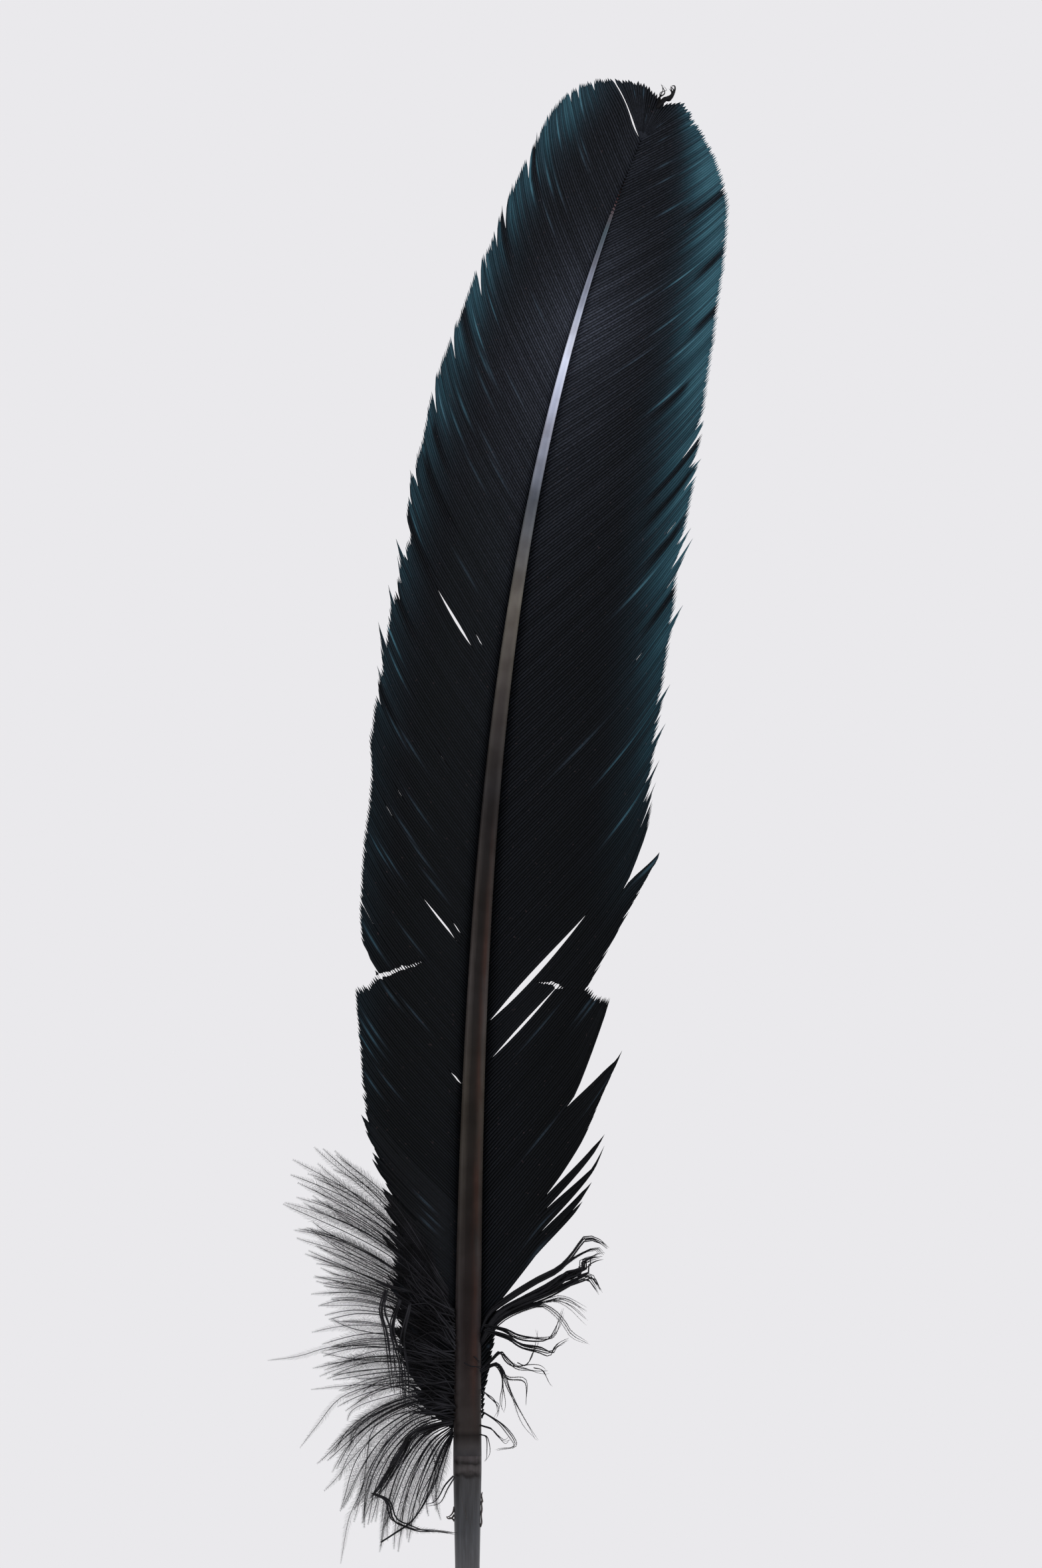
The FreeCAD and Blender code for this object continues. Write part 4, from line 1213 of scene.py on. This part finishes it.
LOWER_CURLS = [
    ([(3.6, 62.6), (7.8, 61.6), (10.5, 60.2), (13.4, 59.6), (16.9, 59.4), (18.6, 60.8), (20.3, 65.8)],
     4, 0.3, 0.34),
    ([(3.6, 61.6), (8.3, 60.2), (11.3, 58.1), (15.1, 57.3), (17.8, 56.8), (19, 58.5), (21.1, 59.8)],
     5, 0.32, 0.36),
    ([(10.5, 54.8), (12.2, 54.3), (13.9, 56.8), (14.7, 61.6)], 2, 0.15, 0.2),
    ([(2.8, 53), (5.3, 55.6), (7, 57.1), (8.3, 55.6), (10.1, 53.9), (12.6, 53.6), (16.9, 53.2)],
     4, 0.28, 0.34),
    ([(14, 53.6), (16, 52.9), (17.8, 49.6)], 2, 0.12, 0.18),
    ([(2.8, 53), (6.2, 54.7), (8.3, 51.7), (12.2, 51.1), (12.2, 45.6)], 3, 0.25, 0.26),
    ([(2.8, 53), (6.6, 54.3), (9.2, 48.7), (12.6, 42.3), (14.6, 38.4)], 3, 0.25, 0.24),
    ([(2.8, 52.6), (6.2, 53.9), (7.4, 49.1), (7.4, 44)], 3, 0.25, 0.26),
]
WISPS = [
    ([(2.8, 49), (4.1, 47.9), (6.2, 45.6), (6, 43.1)], 3, 0.2, 0.26),
    ([(2.8, 44.5), (3.6, 44), (7.4, 41.4), (9.7, 38.4), (9.7, 36.7), (6.2, 35.8)], 3, 0.25, 0.3),
    ([(2.8, 39.5), (4.1, 38.8), (4.5, 35.4), (3.6, 33.7)], 2, 0.2, 0.24),
    ([(2.8, 41.5), (5.5, 40.5), (7.6, 38.2), (8.8, 38.9)], 3, 0.25, 0.24),
]
CROSSING = [
    ([(-0.7, 54.7), (1.5, 53.8), (3.6, 53.5), (5.3, 54.3)], 2, 0.12, 0.2),
    ([(1.4, 56), (2.6, 55.0), (3.6, 54.7)], 2, 0.1, 0.18),
]


def curl_piece(name, strands, node, y_mid, fluffy=0.45):
    lines, sizes = [], []
    for points, copies, spread, thickness in strands:
        more, thick = bundle(points, copies, spread, y_mid, thickness, curl=0.4)
        lines += more
        sizes += thick
    parts = [thread_mesh(name + "_strands", lines, np.array(sizes), taper=0.16)]
    if fluffy:
        parts.append(fluff_mesh(name + "_fluff", lines, 0.35, fluffy, 0.05, start=0.3))
    return join_meshes(name, parts, curled_fibre, "quill", node)


curl_piece("curled_strands_upper", UPPER_CURLS, "curl_right_upper", -0.6)
curl_piece("curled_strands_lower", LOWER_CURLS + CROSSING, "curl_right_lower", -3.3)
curl_piece("loose_wisps", WISPS, "wisps_right", -0.8)
curl_piece("curled_tip_wisps", [
    ([(39.9, 318.6), (40.4, 320.4), (41.3, 321.8), (40.9, 323.2)], 3, 0.08, 0.4),
    ([(39.9, 318.4), (41.3, 319.9), (42.8, 320.5), (43.3, 321.6), (42.7, 322.6)], 6, 0.2, 0.8),
], "tip_wisp", -14.4, 0.0)


# %% [markdown]
# ## Scraps of the skin
#
# A growing feather stands in a papery sheath. A few dry scraps of it still cling to the barrel:
# a hooked one on the left and a torn edge on the right. They are laid as short, flat rods.

# %% Flakes on the barrel
LEFT_FLAKES = [
    [(-2.75, 24.3), (-3.0, 23.2), (-3.6, 22.4), (-4.3, 22.1)],
    [(-2.75, 22.6), (-3.3, 21.9), (-4.1, 21.8), (-4.4, 22.3)],
    [(-2.72, 21.2), (-3.0, 21.6), (-3.5, 21.9), (-3.9, 22.0)],
]
RIGHT_FLAKES = [
    [(2.72, 20.0), (3.0, 21.0), (2.95, 22.4), (3.05, 23.4)],
    [(2.76, 22.4), (3.05, 23.6), (3.0, 25.0), (3.1, 26.0)],
    [(2.85, 24.6), (3.1, 25.6), (3.0, 26.6), (3.15, 27.4)],
    [(2.8, 27.0), (3.0, 26.2), (3.2, 25.6), (3.3, 25.2)],
]
skin = dry_finish("dry_sheath_skin", "1d1918", "4a4341", 0.7, 1500.0)
SEAM = smooth_line([(-2.72, 31.4), (-2.1, 29.2), (-1.2, 26.0), (0.0, 21.5)], STEM_POINTS)
SEAM_RADIUS = 2.83
seam_line = np.stack([SEAM[:, 0], -np.sqrt(SEAM_RADIUS**2 - SEAM[:, 0] ** 2), SEAM[:, 1]], axis=1)
for node, flakes in (("sheath_scrap_left", LEFT_FLAKES), ("sheath_scrap_right", RIGHT_FLAKES)):
    lines = [in_space(smooth_line(f, STEM_POINTS), -0.5 + 0.3 * i, -0.9 + 0.4 * i)
             for i, f in enumerate(flakes)]
    parts = [thread_mesh(node, lines, 0.42, taper=0.4)]
    if node.endswith("left"):
        parts.append(thread_mesh("old_seam", [seam_line], 0.16, taper=0.5))
    join_meshes(node + "_flakes", parts, skin, "quill", node)

# %% [markdown]
# ## Floor, light and camera
#
# Plain studio light: a pale surround, one wide soft light from the upper right, and a weaker one
# from the left. The camera looks straight along +Y with a long lens, from well back.

# %% Stage, lights and camera
FLOOR_GAP = 0.0001
FLOOR_MIDDLE = (0.01, -0.15)
FLOOR_SIZE = (3.0, 1.0, 1.0)
floor_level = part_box("left_tine")[0].z - FLOOR_GAP
bpy.ops.mesh.primitive_plane_add(size=1, location=(*FLOOR_MIDDLE, floor_level))
floor = bpy.context.object
floor.name = "pale_floor"
floor.scale = FLOOR_SIZE
bpy.ops.object.transform_apply(location=True, rotation=True, scale=True)
floor_material, _, shader = new_material("pale_paper_floor", roughness=0.8, specular=0.2)
shader.inputs["Base Color"].default_value = linear("e9e7e8")
floor.data.materials.append(floor_material)

world = bpy.data.worlds.new("pale_surround")
bpy.context.scene.world = world
world.use_nodes = True
surround = world.node_tree.nodes["Background"]
surround.inputs["Color"].default_value = linear("eae9ec")
surround.inputs["Strength"].default_value = 1.0


def soft_light(name, place, target, size, power):
    bpy.ops.object.light_add(type="AREA", location=place)
    light = bpy.context.object
    light.name = name
    light.data.size = size
    light.data.energy = power
    light.rotation_euler = (Vector(target) - Vector(place)).to_track_quat("-Z", "Y").to_euler()
    return light


soft_light("wide_soft_light", (1.0, -1.0, 0.8), (0.01, 0, 0.18), 0.9, 13)
soft_light("side_fill", (-1.1, -0.6, 0.4), (0.01, 0, 0.18), 0.6, 4)

LENS = 400.0
FRAME_HEIGHT = 0.3303
FRAME_CENTRE = (0.0113, 0.1765)
SENSOR = 36.0
camera_data = bpy.data.cameras.new("camera")
camera_data.lens = LENS
camera_data.sensor_width = SENSOR
camera = bpy.data.objects.new("camera", camera_data)
bpy.context.scene.collection.objects.link(camera)
camera.location = (FRAME_CENTRE[0], -FRAME_HEIGHT * LENS / SENSOR, FRAME_CENTRE[1])
camera.rotation_euler = (math.pi / 2, 0, 0)
bpy.context.scene.camera = camera
bpy.context.scene.view_settings.view_transform = "Standard"
print("camera", round(-camera.location.y, 2), "m from the feather; floor at", round(floor_level, 4), "m")
